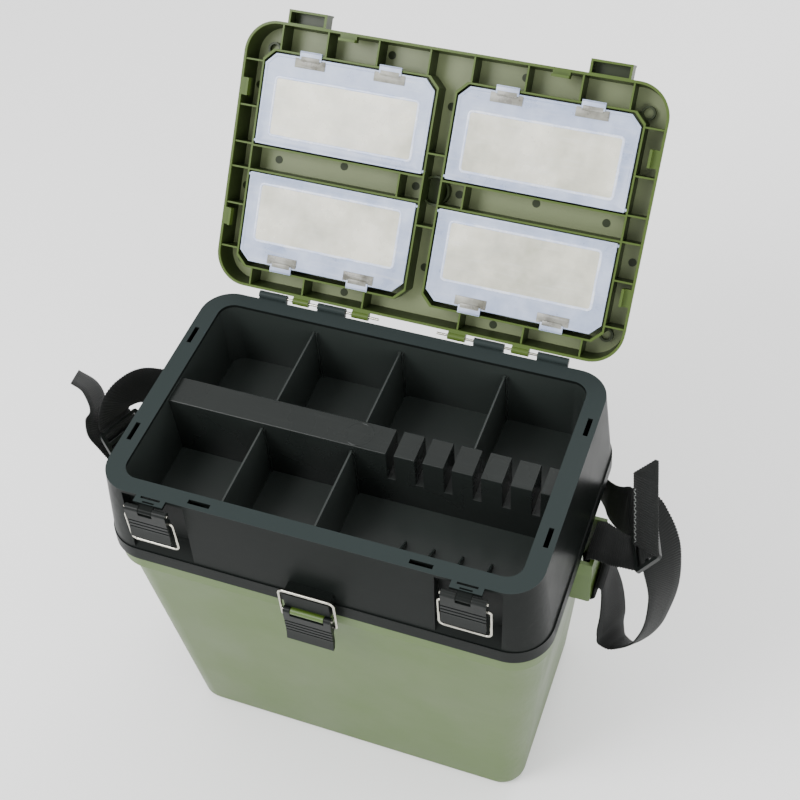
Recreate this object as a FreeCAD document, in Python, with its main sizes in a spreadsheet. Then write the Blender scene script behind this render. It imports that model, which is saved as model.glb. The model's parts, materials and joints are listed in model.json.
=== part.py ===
import FreeCAD, Part
import ast
import math
import os
import re

import PartDesign
import Sketcher

# Fishing seat box: a tapered lower bin, a tray section hinged on it, and a seat lid with four doors.
# Millimetres. +X along the box to the right, +Y to the back, +Z up. The origin is the middle of the
# bin's underside. The lid is drawn closed and then swung open about its hinge, as it stands at rest.

DOC = FreeCAD.newDocument("SeatBox")
SHEET = DOC.addObject("Spreadsheet::Sheet", "Sizes")

SIZES = {
    # Lower bin
    "bin_base_half_x": 167.5,
    "bin_base_half_y": 93.9,
    "bin_base_corner": 23.2,
    "bin_mouth_half_x": 190.6,
    "bin_mouth_half_y": 117.5,
    "bin_mouth_corner": 31,
    "bin_mouth_height": 294.3,
    "bin_wall": 2.8,
    "bin_floor": 3.2,
    "bin_base_round": 7,
    "collar_bottom": 266.3,
    "collar_half_x": 192.6,
    "collar_half_y": 120.4,
    "collar_corner": 33,
    # Strap loops on the bin's end walls
    "loop_y": 11.5,
    "loop_half_gap": 22,
    "loop_cheek": 3.5,
    "loop_outer_x": 205.5,
    "loop_plate": 3.5,
    "loop_top": 281.5,
    "loop_bottom": 228,
    "loop_root_x": 184.5,
    # Tray section
    "rim_height": 370,
    "rim_half_x": 185.45,
    "rim_half_y": 116.1,
    "rim_corner": 28,
    "rim_plate": 3,
    "step_height": 296.3,
    "step_half_x": 193.05,
    "step_half_y": 121.1,
    "step_corner": 32,
    "skirt_half_x": 195,
    "skirt_half_y": 122.8,
    "skirt_corner": 35,
    "skirt_bottom": 282.5,
    "skirt_gap": 0.3,
    "seat_gap": 0.3,
    "tier_wall": 2.4,
    "basin_half_x": 168.6,
    "basin_front": -101.7,
    "basin_back": 102.4,
    "basin_corner": 14,
    "basin_draft": 1.6,
    "basin_wall": 2,
    "tray_floor": 302,
    "tray_floor_plate": 2.5,
    "spine_front": -14.5,
    "spine_back": 13.3,
    "spine_top": 365,
    "spine_wall": 2,
    "spine_round": 1.2,
    "disc_x": 0.4,
    "disc_y": -0.6,
    "disc_radius": 12.6,
    "disc_rise": 0.4,
    "disc_edge": 1.8,
    "slot_first": 32.3,
    "slot_pitch": 24.8,
    "slot_width": 7.1,
    "slot_bottom": 333,
    "cradle_plate": 1.8,
    "cradle_reach": 48,
    "cradle_rise": 34,
    "rim_slot_side_x": 178.5,
    "rim_slot_side_y": 57.5,
    "rim_slot_front_x": 93.5,
    "rim_slot_front_y": -110,
    "rim_slot_width": 4,
    "rim_slot_length": 19,
    # Dividers and their guide ribs
    "divider_plate": 1.8,
    "divider_top": 360,
    "divider_gap": 0.4,
    "guide_plate": 1.2,
    "guide_depth": 2,
    # Seat lid, drawn closed
    "lid_gap": 0.3,
    "lid_half_x": 187.2,
    "lid_half_y": 116.5,
    "lid_corner": 29,
    "lid_height": 26,
    "lid_taper": 2.2,
    "lid_wall": 2.2,
    "lid_roof": 2.6,
    "lid_round": 6,
    "lid_open_angle": 127.4,
    "hinge_y": 120.6,
    "hinge_height": 371.56,
    "rib_plate": 1.5,
    "rib_lift": 1.2,
    "cell_outer_x": 167.5,
    "cell_inner_x": 9,
    "cell_front": -91.4,
    "cell_back": 98,
    "cell_wall": 1.6,
    "cell_chamfer": 9,
    "band_front": -7.8,
    "band_back": 12,
    "lid_slot_x": 29.5,
    "tab_plate": 2.2,
    "tab_length": 15,
    "tab_depth": 4.5,
    "tab_root": 6,
    "hook_half_x": 17.5,
    "hook_front": -128,
    "hook_top": 385,
    "hook_lip_top": 387.3,
    "hook_lip": 1.7,
    "hook_wall": 2,
    # Doors of the lid cells
    "door_outer_x": 166,
    "door_inner_x": 10.6,
    "door_latch_edge_front": -89.9,
    "door_hinge_edge_front": -10.9,
    "door_hinge_edge_back": 14.6,
    "door_latch_edge_back": 93.6,
    "door_bottom": 370.7,
    "door_plate": 1.6,
    "door_emboss": 0.5,
    "door_peg_radius": 1.3,
    "door_peg_inset": 2.2,
    "door_peg_height": 372.6,
    "door_tab_x": 36.5,
    "door_tab_half": 10,
    "door_tab_reach": 5.2,
    "emboss_side": 12,
    "emboss_latch": 20,
    "emboss_hinge": 9,
    # Lid hinge
    "pin_radius": 1.1,
    "bore_radius": 1.15,
    "knuckle_radius": 3.2,
    # Hinge between bin and tray section
    "rear_hinge_y": 129.5,
    "rear_hinge_height": 278,
    "rear_pin_radius": 1.5,
    "rear_bore_radius": 1.55,
    "rear_knuckle_radius": 4,
    # Lid latches
    "latch_x": 133,
    "latch_pin_y": -127,
    "latch_pin_height": 366,
    "latch_pin_half": 19.4,
    "recess_half_x": 27.3,
    "recess_back": -108,
    "recess_shelf_back": 311,
    "recess_shelf_front": 297.6,
    "platform_half_x": 13,
    "platform_front": -122.8,
    "platform_plate": 3,
    "tongue_half_x": 5.8,
    "lever_half_x": 18.2,
    "lever_length": 34,
    "bail_drop": 10.5,
    "bail_inset": 0.5,
    "bail_length": 34,
    "bail_half_x": 21.15,
    "bail_wire": 1.1,
    "bail_bore": 1.15,
    "bail_peg_reach": 6.5,
    "bail_bend": 4.5,
    # Middle latch
    "mid_pin_y": -133,
    "mid_pin_height": 287,
    "mid_pin_half": 22,
    "mid_lever_half_x": 21,
    "mid_lever_length": 38,
    "mid_bail_drop": 11,
    "mid_bail_inset": 2,
    "mid_bail_length": 35,
    "mid_bail_half_x": 23.9,
    "mid_bail_wire": 1.25,
    "mid_bail_bore": 1.3,
    "mid_bracket_half_x": 16,
    "mid_bracket_plate": 2.6,
    "mid_tongue_half_x": 14.5,
    "catch_half_x": 20,
    "catch_front": -132,
    "catch_top": 308,
    "catch_bottom": 291.5,
    # Gap between the pieces that one moulding is drawn in
    "split": 0.05,
    # Shoulder strap
    "strap_half_width": 20,
    "strap_thickness": 1.8,
    "strap_tip_half": 3,
    "slider_length": 50,
    "slider_width": 26,
    "slider_plate": 3.2,
    "slider_bar": 4,
    "slider_slot": 8,
    "slider_slot_length": 41,
    "slider_corner": 3,
}

for row, (alias, amount) in enumerate(SIZES.items(), start=1):
    SHEET.set("A%d" % row, alias)
    SHEET.set("B%d" % row, str(amount))
    SHEET.setAlias("B%d" % row, alias)
DOC.recompute()

WORD = re.compile(r"[a-z_][a-z_0-9]*")


def bound(formula):
    """The formula with every size name pointing at the sheet."""
    return WORD.sub(lambda m: "Sizes." + m.group(0) if m.group(0) in SIZES else m.group(0), str(formula))


def reckon(formula):
    """The number that a formula of sizes comes to, read from the sheet."""

    def walk(node):
        if isinstance(node, ast.Constant):
            return float(node.value)
        if isinstance(node, ast.Name):
            return float(getattr(SHEET, node.id))
        if isinstance(node, ast.UnaryOp):
            return -walk(node.operand)
        if isinstance(node, ast.Call):
            return getattr(math, node.func.id)(math.radians(walk(node.args[0])))
        left, right = walk(node.left), walk(node.right)
        if isinstance(node.op, ast.Add):
            return left + right
        if isinstance(node.op, ast.Sub):
            return left - right
        if isinstance(node.op, ast.Mult):
            return left * right
        return left / right

    return walk(ast.parse(str(formula)).body[0].value)


def bind(thing, prop, formula):
    thing.setExpression(prop, bound(formula))


# Basic solids

def block(name, x, y, z):
    """A box from the low to the high formula along each axis."""
    box = DOC.addObject("Part::Box", name)
    for side, place, (low, high) in (("Length", "x", x), ("Width", "y", y), ("Height", "z", z)):
        bind(box, side, "(%s) - (%s)" % (high, low))
        bind(box, "Placement.Base." + place, low)
    return box


def rod(name, x, y, z, radius):
    """A cylinder along X from the low to the high formula, about the line at y, z."""
    bar = DOC.addObject("Part::Cylinder", name)
    bar.Placement = FreeCAD.Placement(FreeCAD.Vector(), FreeCAD.Rotation(FreeCAD.Vector(0, 1, 0), 90))
    bind(bar, "Radius", radius)
    bind(bar, "Height", "(%s) - (%s)" % (x[1], x[0]))
    bind(bar, "Placement.Base.x", x[0])
    bind(bar, "Placement.Base.y", y)
    bind(bar, "Placement.Base.z", z)
    return bar


def post(name, x, y, z, radius):
    """An upright cylinder from the low to the high formula along Z."""
    bar = DOC.addObject("Part::Cylinder", name)
    bind(bar, "Radius", radius)
    bind(bar, "Height", "(%s) - (%s)" % (z[1], z[0]))
    bind(bar, "Placement.Base.x", x)
    bind(bar, "Placement.Base.y", y)
    bind(bar, "Placement.Base.z", z[0])
    return bar


def joined(name, pieces):
    union = DOC.addObject("Part::MultiFuse", name)
    union.Shapes = pieces
    return union


def cut(name, base, tools):
    if len(tools) > 1:
        tool = joined(name + "Tools", tools)
    else:
        tool = tools[0]
    result = DOC.addObject("Part::Cut", name)
    result.Base = base
    result.Tool = tool
    return result


def softened(name, base, radius, wanted):
    """The base with the edges that the test picks rounded over."""
    DOC.recompute()
    picked = [i for i, edge in enumerate(base.Shape.Edges, start=1) if wanted(edge)]
    if not picked:
        raise RuntimeError("no edge to round on " + base.Name)
    result = DOC.addObject("Part::Fillet", name)
    result.Base = base
    result.Edges = [(i, reckon(radius), reckon(radius)) for i in picked]
    return result


def finish(thing, label):
    """Names a sub-part and puts it on the list to be written."""
    thing.Label = label
    FINISHED.append(thing)
    return thing


FINISHED = []

# Sketched solids

PLANES = {"XY": "XY_Plane", "XZ": "XZ_Plane", "YZ": "YZ_Plane"}


def sketch_on(body, name, plane, offset):
    sketch = body.newObject("Sketcher::SketchObject", name)
    origin = [f for f in body.Origin.OriginFeatures if f.Role == PLANES[plane]][0]
    sketch.AttachmentSupport = [(origin, "")]
    sketch.MapMode = "FlatFace"
    bind(sketch, "AttachmentOffset.Base.z", offset)
    return sketch


def held(sketch, kind, geometry, point, formula):
    """Fixes a point of the sketch along one axis by a formula."""
    index = sketch.addConstraint(Sketcher.Constraint(kind, -1, 1, geometry, point, reckon(formula)))
    bind(sketch, "Constraints[%d]" % index, formula)


def rounded_outline(body, name, height, x, y, corner):
    """A rectangle with round corners on a level plane, from low to high formulas."""
    sketch = sketch_on(body, name, "XY", height)
    (x0, x1), (y0, y1), r = [reckon(v) for v in x], [reckon(v) for v in y], reckon(corner)
    V = FreeCAD.Vector
    up = V(0, 0, 1)
    lines = [(V(x0 + r, y0, 0), V(x1 - r, y0, 0)), (V(x1, y0 + r, 0), V(x1, y1 - r, 0)),
             (V(x1 - r, y1, 0), V(x0 + r, y1, 0)), (V(x0, y1 - r, 0), V(x0, y0 + r, 0))]
    centres = [V(x1 - r, y0 + r, 0), V(x1 - r, y1 - r, 0), V(x0 + r, y1 - r, 0), V(x0 + r, y0 + r, 0)]
    for start, end in lines:
        sketch.addGeometry(Part.LineSegment(start, end), False)
    for turn, centre in enumerate(centres):
        begin = math.pi * (turn / 2 - 0.5)
        sketch.addGeometry(Part.ArcOfCircle(Part.Circle(centre, up, r), begin, begin + math.pi / 2), False)
    for side in range(4):
        sketch.addConstraint(Sketcher.Constraint("Tangent", side, 2, 4 + side, 1))
        sketch.addConstraint(Sketcher.Constraint("Tangent", 4 + side, 2, (side + 1) % 4, 1))
    for side in (0, 2):
        sketch.addConstraint(Sketcher.Constraint("Horizontal", side))
    for side in (1, 3):
        sketch.addConstraint(Sketcher.Constraint("Vertical", side))
    for side in range(3):
        sketch.addConstraint(Sketcher.Constraint("Equal", 4, 5 + side))
    index = sketch.addConstraint(Sketcher.Constraint("Radius", 4, r))
    bind(sketch, "Constraints[%d]" % index, corner)
    held(sketch, "DistanceY", 0, 1, y[0])
    held(sketch, "DistanceX", 1, 1, x[1])
    held(sketch, "DistanceY", 2, 1, y[1])
    held(sketch, "DistanceX", 3, 1, x[0])
    return sketch


def tapered(name, levels):
    """A solid through level rounded rectangles, each a (height, x, y, corner) of formulas."""
    body = DOC.addObject("PartDesign::Body", name)
    outlines = [rounded_outline(body, "%sLevel%d" % (name, i), *level) for i, level in enumerate(levels)]
    DOC.recompute()
    loft = body.newObject("PartDesign::AdditiveLoft", name + "Loft")
    loft.Profile = outlines[0]
    loft.Sections = outlines[1:]
    loft.Ruled = True
    DOC.recompute()
    return body


def even(half):
    """The pair of formulas for a span centred on zero."""
    return "-(%s)" % half, half


def profile(name, plane, offset, points, thickness):
    """A straight-sided outline through formula points, padded evenly to both sides of its plane."""
    body = DOC.addObject("PartDesign::Body", name)
    sketch = sketch_on(body, name + "Outline", plane, offset)
    places = [FreeCAD.Vector(reckon(u), reckon(v), 0) for u, v in points]
    count = len(points)
    for i in range(count):
        sketch.addGeometry(Part.LineSegment(places[i], places[(i + 1) % count]), False)
    for i in range(count):
        sketch.addConstraint(Sketcher.Constraint("Coincident", i, 2, (i + 1) % count, 1))
    for i, (u, v) in enumerate(points):
        held(sketch, "DistanceX", i, 1, u)
        held(sketch, "DistanceY", i, 1, v)
    DOC.recompute()
    pad = body.newObject("PartDesign::Pad", name + "Pad")
    pad.Profile = sketch
    pad.Midplane = True
    bind(pad, "Length", thickness)
    DOC.recompute()
    return body


def bail(name, x, pivot_y, pivot_height, rise, half, reach, radius, bend):
    """A wire bail: two pegs pointing inward, two legs and a bar, in one upright plane.

    rise is the bar's height over the pegs, and is negative on a bail that hangs.
    """
    low, high = reckon("(%s) - (%s)" % (x, half)), reckon("(%s) + (%s)" % (x, half))
    base, top = reckon(pivot_height), reckon("(%s) + (%s)" % (pivot_height, rise))
    depth, wire, peg = reckon(pivot_y), reckon(radius), reckon(reach)
    V = FreeCAD.Vector
    corners = [V(low + peg, depth, base), V(low, depth, base), V(low, depth, top), V(high, depth, top),
               V(high, depth, base), V(high - peg, depth, base)]
    tight = 2 * wire
    path = Part.Wire(bent_edges(corners, [tight, reckon(bend), reckon(bend), tight]))
    section = Part.Wire(Part.makeCircle(wire, corners[0], V(1, 0, 0)))
    loop = DOC.addObject("Part::Feature", name)
    loop.Shape = path.makePipeShell([section], True, False)
    return loop


def bent_edges(points, radii):
    """Straight runs from point to point, with an arc of the given radius at each inner point."""
    edges = []
    here = points[0]
    for i in range(1, len(points) - 1):
        before = (points[i - 1] - points[i]).normalize()
        after = (points[i + 1] - points[i]).normalize()
        half_turn = (math.pi - before.getAngle(after)) / 2
        back = radii[i - 1] * math.tan(half_turn)
        start = points[i] + before * back
        end = points[i] + after * back
        middle_way = (before + after).normalize()
        middle = points[i] + middle_way * (radii[i - 1] / math.cos(half_turn) - radii[i - 1])
        edges.append(Part.LineSegment(here, start).toShape())
        edges.append(Part.Arc(start, middle, end).toShape())
        here = end
    edges.append(Part.LineSegment(here, points[-1]).toShape())
    return edges


# Lower bin, with its collar, strap loops, latch bracket and rear hinge knuckles

def rounded_level(height, half_x, half_y, corner, inset="0"):
    """A rounded rectangle about the Z axis at a height, drawn in by the inset."""
    return (height, even("%s - (%s)" % (half_x, inset)), even("%s - (%s)" % (half_y, inset)),
            "%s - (%s)" % (corner, inset))


def part_way(first, last, share):
    return "%s + (%s - %s) * (%s)" % (first, last, first, share)


ROUND_STEPS = (0, 30, 60, 90)


def bin_levels(top, floor, wall, foot):
    """The bin's tapered sides from the rounded foot up, drawn in by the wall."""
    levels = []
    for turn in ROUND_STEPS:
        height = "%s + (%s) * (1 - cos(%d))" % (floor, foot, turn)
        levels.append((height, "%s + (%s) * (1 - sin(%d))" % (wall, foot, turn)))
    levels.append((top, wall))
    rings = []
    for height, inset in levels:
        share = "(%s) / bin_mouth_height" % height
        rings.append(rounded_level(height, part_way("bin_base_half_x", "bin_mouth_half_x", share),
                          part_way("bin_base_half_y", "bin_mouth_half_y", share),
                          part_way("bin_base_corner", "bin_mouth_corner", share), inset))
    return rings


def strap_loop(side):
    """The moulded loop on one end wall: a plate held off the wall by two cheeks."""
    tag = "Right" if side > 0 else "Left"
    reach = ("loop_root_x", "loop_outer_x") if side > 0 else ("-loop_outer_x", "-loop_root_x")
    plate = ("loop_outer_x - loop_plate", "loop_outer_x") if side > 0 else (
        "-loop_outer_x", "-loop_outer_x + loop_plate")
    height = ("loop_bottom", "loop_top")
    front = block("LoopFront" + tag, reach,
                  ("loop_y - loop_half_gap - loop_cheek", "loop_y - loop_half_gap"), height)
    back = block("LoopBack" + tag, reach,
                 ("loop_y + loop_half_gap", "loop_y + loop_half_gap + loop_cheek"), height)
    face = block("LoopFace" + tag, plate,
                 ("loop_y - loop_half_gap - loop_cheek", "loop_y + loop_half_gap + loop_cheek"), height)
    whole = joined("Loop" + tag, [front, back, face])
    outer = side * reckon("loop_outer_x")
    low = reckon("loop_bottom")

    def lower_outer_edge(edge):
        return all(abs(v.Point.x - outer) < 0.01 and abs(v.Point.z - low) < 0.01 for v in edge.Vertexes)

    return softened("LoopRounded" + tag, whole, "loop_plate - 0.2", lower_outer_edge)


def rear_knuckle(name, x, tier):
    """One barrel of the rear hinge with the arm that carries it."""
    barrel = rod(name + "Barrel", x, "rear_hinge_y", "rear_hinge_height", "rear_knuckle_radius")
    if tier:
        arm = profile(name + "Arm", "YZ", "((%s) + (%s)) / 2" % x, [
            ("skirt_half_y - 1.5", "skirt_bottom + 1"),
            ("rear_hinge_y - 3", "rear_hinge_height + 2"),
            ("rear_hinge_y + 3.2", "rear_hinge_height + 2"),
            ("skirt_half_y - 1.5", "skirt_bottom + 10")], "(%s) - (%s)" % (x[1], x[0]))
    else:
        arm = profile(name + "Arm", "YZ", "((%s) + (%s)) / 2" % x, [
            ("collar_half_y - 2", "collar_bottom + 1"),
            ("rear_hinge_y + 1", "rear_hinge_height - 3.6"),
            ("rear_hinge_y - 1", "rear_hinge_height + 1"),
            ("collar_half_y - 2", "rear_hinge_height + 1")], "(%s) - (%s)" % (x[1], x[0]))
    return [barrel, arm]


REAR_BIN_SPANS = [("75", "87.4"), ("100.6", "113"), ("-87.4", "-75"), ("-113", "-100.6")]
REAR_TIER_SPANS = [("88", "100"), ("-100", "-88")]
REAR_PIN_SPANS = [("rear_hinge_pin_right", "74", "114"), ("rear_hinge_pin_left", "-114", "-74")]


def rear_bore(name):
    return rod(name, ("-120", "120"), "rear_hinge_y", "rear_hinge_height", "rear_bore_radius")


def make_bin():
    outside = tapered("BinOutside", bin_levels("bin_mouth_height", "0", "0", "bin_base_round"))
    collar = tapered("BinCollar", [
        rounded_level("collar_bottom", "collar_half_x", "collar_half_y", "collar_corner"),
        rounded_level("bin_mouth_height", "collar_half_x", "collar_half_y", "collar_corner")])
    hollow = tapered("BinHollow", bin_levels("bin_mouth_height + 1", "bin_floor", "bin_wall", "bin_base_round - 2"))
    bracket = block("MidBracket", even("mid_bracket_half_x"),
                    ("-skirt_half_y - 0.5 - mid_bracket_plate", "-skirt_half_y - 0.5"),
                    ("collar_bottom + 2", "mid_pin_height + 2.4"))
    foot = block("MidBracketFoot", even("mid_bracket_half_x"), ("-skirt_half_y - 0.6", "-collar_half_y + 2"),
                 ("collar_bottom + 2", "skirt_bottom - 0.6"))
    tongue = block("MidTongue", even("mid_tongue_half_x"), ("mid_pin_y", "-skirt_half_y - 1"),
                   ("mid_pin_height - 2.4", "mid_pin_height + 2.4"))
    barrel = rod("MidBarrel", even("mid_tongue_half_x"), "mid_pin_y", "mid_pin_height", "3")
    solids = [outside, collar, strap_loop(1), strap_loop(-1), bracket, foot, tongue, barrel]
    for i, span in enumerate(REAR_BIN_SPANS):
        solids += rear_knuckle("RearBin%d" % i, span, False)
    bore = rod("MidBore", even("mid_lever_half_x"), "mid_pin_y", "mid_pin_height", "bore_radius")
    emptied = cut("BinEmptied", joined("BinSolids", solids), [hollow])
    finish(cut("Bin", emptied, [bore, rear_bore("RearBinBore")]), "bin_shell")


# Tray section

def basin_level(height, inset):
    return (height, ("-basin_half_x + (%s)" % inset, "basin_half_x - (%s)" % inset),
            ("basin_front + (%s)" % inset, "basin_back - (%s)" % inset), "basin_corner - (%s) / 2" % inset)


def basin_limit(name):
    """The tray's open space, drawn in a little, that the pieces standing in it are trimmed to."""
    return tapered(name, [
        basin_level("tray_floor + split", "basin_draft + split"),
        basin_level("rim_height + 1", "split")])


def trimmed(name, base, limit):
    result = DOC.addObject("Part::Common", name)
    result.Base = base
    result.Tool = limit
    return result


SPINE_END = "basin_half_x - 6"


def make_spine():
    """The hollow wall along the tray's middle, with the rod slots cut down into its right half."""
    ridge = block("SpineRidge", even("basin_half_x"), ("spine_front", "spine_back"), ("tray_floor", "spine_top"))
    top = reckon("spine_top")

    def long_top_edge(edge):
        ends = [v.Point for v in edge.Vertexes]
        return all(abs(p.z - top) < 0.01 for p in ends) and abs(ends[0].x - ends[1].x) > 10

    ridge = softened("SpineRounded", ridge, "spine_round", long_top_edge)
    slots = []
    hollows = [block("SpineHollowLow", even(SPINE_END),
                     ("spine_front + spine_wall", "spine_back - spine_wall"),
                     ("tray_floor - 10", "slot_bottom - spine_wall"))]
    starts = ["-(%s)" % SPINE_END]
    for i in range(6):
        centre = "slot_first + %d * slot_pitch" % i
        slots.append(block("RodSlot%d" % i, ("%s - slot_width / 2" % centre, "%s + slot_width / 2" % centre),
                           ("spine_front - 1", "spine_back + 1"), ("slot_bottom", "spine_top + 1")))
        hollows.append(block("SpineHollow%d" % i, (starts[-1], "%s - slot_width / 2 - spine_wall" % centre),
                             ("spine_front + spine_wall", "spine_back - spine_wall"),
                             ("slot_bottom - 5", "spine_top - spine_wall")))
        starts.append("%s + slot_width / 2 + spine_wall" % centre)
    hollows.append(block("SpineHollowEnd", (starts[-1], SPINE_END),
                         ("spine_front + spine_wall", "spine_back - spine_wall"),
                         ("slot_bottom - 5", "spine_top - spine_wall")))
    disc = post("SpineDisc", "disc_x", "disc_y", ("spine_top - 0.5", "spine_top + disc_rise"), "disc_radius")
    dip = post("SpineDiscDip", "disc_x", "disc_y", ("spine_top", "spine_top + 1"), "disc_radius - disc_edge")
    whole = joined("SpineAndGuides", [ridge, cut("SpineDiscRing", disc, [dip])] + guide_ribs(True))
    hollowed = cut("SpineHollowed", whole, slots + [joined("SpineHollow", hollows)])
    finish(trimmed("Spine", hollowed, basin_limit("SpineLimit")), "tray_spine")


def make_cradles():
    """Sloping plates on the front wall, one opposite each rod slot but the first."""
    plates = []
    for i in range(1, 6):
        plates.append(profile("Cradle%d" % i, "YZ", "slot_first + %d * slot_pitch" % i, [
            ("basin_front - 1", "tray_floor - 1"),
            ("basin_front + basin_draft + cradle_reach", "tray_floor - 1"),
            ("basin_front + basin_draft + cradle_reach", "tray_floor + 4"),
            ("basin_front - 1", "tray_floor + cradle_rise")], "cradle_plate"))
    finish(trimmed("Cradles", joined("CradlePlates", plates), basin_limit("CradleLimit")), "rod_cradles")


DIVIDERS = {
    "divider_back_left": ("-81.5", True),
    "divider_back_middle": ("0", True),
    "divider_back_right": ("95", True),
    "divider_front_left": ("-81.5", False),
    "divider_front_middle": ("-1", False),
}


def divider_span(back):
    if back:
        return "spine_back + divider_gap", "basin_back - basin_draft - divider_gap"
    return "basin_front + basin_draft + divider_gap", "spine_front - divider_gap"


def guide_ribs(on_spine):
    """Pairs of upright ribs beside each divider's end, on the spine or on the tray's wall."""
    ribs = []
    for label, (x, back) in DIVIDERS.items():
        if on_spine and back:
            span = ("spine_back - 0.5", "spine_back + guide_depth")
        elif on_spine:
            span = ("spine_front - guide_depth", "spine_front + 0.5")
        elif back:
            span = ("basin_back - basin_draft - guide_depth", "basin_back + 0.5")
        else:
            span = ("basin_front - 0.5", "basin_front + basin_draft + guide_depth")
        for side, low, high in (("A", "divider_plate / 2 + 0.3 + guide_plate", "divider_plate / 2 + 0.3"),
                                ("B", "-divider_plate / 2 - 0.3", "-divider_plate / 2 - 0.3 - guide_plate")):
            ribs.append(block("Guide%s%s_%s" % ("Spine" if on_spine else "Wall", side, label),
                              ("%s - (%s)" % (x, low), "%s - (%s)" % (x, high)), span,
                              ("tray_floor - 1", "divider_top - 2")))
    return ribs


def make_basin():
    """The tray's walls and floor, hung under the rim."""
    outer = tapered("BasinOuter", [
        basin_level("tray_floor - tray_floor_plate", "basin_draft - basin_wall"),
        basin_level("rim_height - rim_plate - split", "0 - basin_wall")])
    space = tapered("BasinSpace", [
        basin_level("tray_floor", "basin_draft"),
        basin_level("rim_height + 1", "0")])
    under_spine = block("UnderSpine", even(SPINE_END),
                        ("spine_front + spine_wall", "spine_back - spine_wall"),
                        ("tray_floor - 10", "tray_floor + 1"))
    emptied = cut("BasinEmptied", outer, [space])
    whole = joined("BasinAndGuides", [emptied] + guide_ribs(False))
    finish(cut("Basin", whole, [under_spine]), "tray_basin")


def make_dividers():
    for label, (x, back) in DIVIDERS.items():
        finish(block("Plate_" + label, ("%s - divider_plate / 2" % x, "%s + divider_plate / 2" % x),
                     divider_span(back), ("tray_floor + 0.2", "divider_top")), label)


def latch_recess(side):
    """The pocket for one lid latch: the solid behind it and the space to cut."""
    tag = "Right" if side > 0 else "Left"
    middle = "latch_x" if side > 0 else "-latch_x"
    housing = profile("RecessHousing" + tag, "YZ", middle, [
        ("-rim_half_y + 1", "rim_height - 1"),
        ("recess_back + tier_wall", "rim_height - 1"),
        ("recess_back + tier_wall", "recess_shelf_back - 1"),
        ("-step_half_y + 1.6", "recess_shelf_front - 1"),
        ("-step_half_y + 1.2", "recess_shelf_front")], "2 * (recess_half_x + tier_wall)")
    space = profile("RecessSpace" + tag, "YZ", middle, [
        ("-step_half_y - 6", "rim_height - rim_plate"),
        ("recess_back", "rim_height - rim_plate"),
        ("recess_back", "recess_shelf_back"),
        ("-step_half_y", "recess_shelf_front"),
        ("-step_half_y - 6", "recess_shelf_front")], "2 * recess_half_x")
    return housing, space


def latch_platform(side):
    """The shelf that carries one lid latch's pin, and the slots and bore to cut in it."""
    tag = "Right" if side > 0 else "Left"
    middle = "latch_x" if side > 0 else "-latch_x"

    def across(half):
        return "%s - (%s)" % (middle, half), "%s + %s" % (middle, half)

    height = ("rim_height - platform_plate", "rim_height")
    shelf = block("Platform" + tag, across("platform_half_x"), ("platform_front", "-rim_half_y + 3"), height)
    tongue = block("Tongue" + tag, across("tongue_half_x"), ("latch_pin_y", "platform_front + 1"),
                   ("latch_pin_height - 2", "latch_pin_height + 2.8"))
    barrel = rod("TongueBarrel" + tag, across("tongue_half_x"), "latch_pin_y", "latch_pin_height", "2.9")
    long_slot = block("LongSlot" + tag, across("8.5"), ("-118.4", "-116.4"),
                      ("rim_height - platform_plate - 1", "rim_height + 1"))
    short_slot = block("ShortSlot" + tag, across("5.2"), ("-122.1", "-120.6"),
                       ("rim_height - 1.2", "rim_height + 1"))
    bore = rod("LatchBore" + tag, across("lever_half_x"), "latch_pin_y", "latch_pin_height", "bore_radius")
    return [shelf, tongue, barrel], [long_slot, short_slot, bore]


def rim_slots():
    height = ("rim_height - rim_plate - 1", "rim_height + 1")
    slots = []
    for sx in ("", "-"):
        slots.append(block("RimSlotFront" + ("L" if sx else "R"),
                           ("%srim_slot_front_x - rim_slot_length / 2" % sx,
                            "%srim_slot_front_x + rim_slot_length / 2" % sx),
                           ("rim_slot_front_y - rim_slot_width / 2", "rim_slot_front_y + rim_slot_width / 2"),
                           height))
        for sy in ("", "-"):
            slots.append(block("RimSlotSide" + ("L" if sx else "R") + ("F" if sy else "B"),
                               ("%srim_slot_side_x - rim_slot_width / 2" % sx,
                                "%srim_slot_side_x + rim_slot_width / 2" % sx),
                               ("%srim_slot_side_y - rim_slot_length / 2" % sy,
                                "%srim_slot_side_y + rim_slot_length / 2" % sy), height))
    return slots


LID_TIER_SPANS = [("-141", "-114.6"), ("-84.6", "-58.3"), ("60.9", "87.9"), ("117.8", "145")]
LID_KNUCKLE_SPANS = [("-108.6", "-93.7"), ("-52", "-36.6"), ("37.2", "52.7"), ("94.8", "109.9")]
LID_PIN_SPANS = [("lid_hinge_pin_left", "-141.6", "-27"), ("lid_hinge_pin_right", "27", "145.6")]


def lid_bore(name):
    return rod(name, ("-150", "150"), "hinge_y", "hinge_height", "bore_radius")


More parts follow.
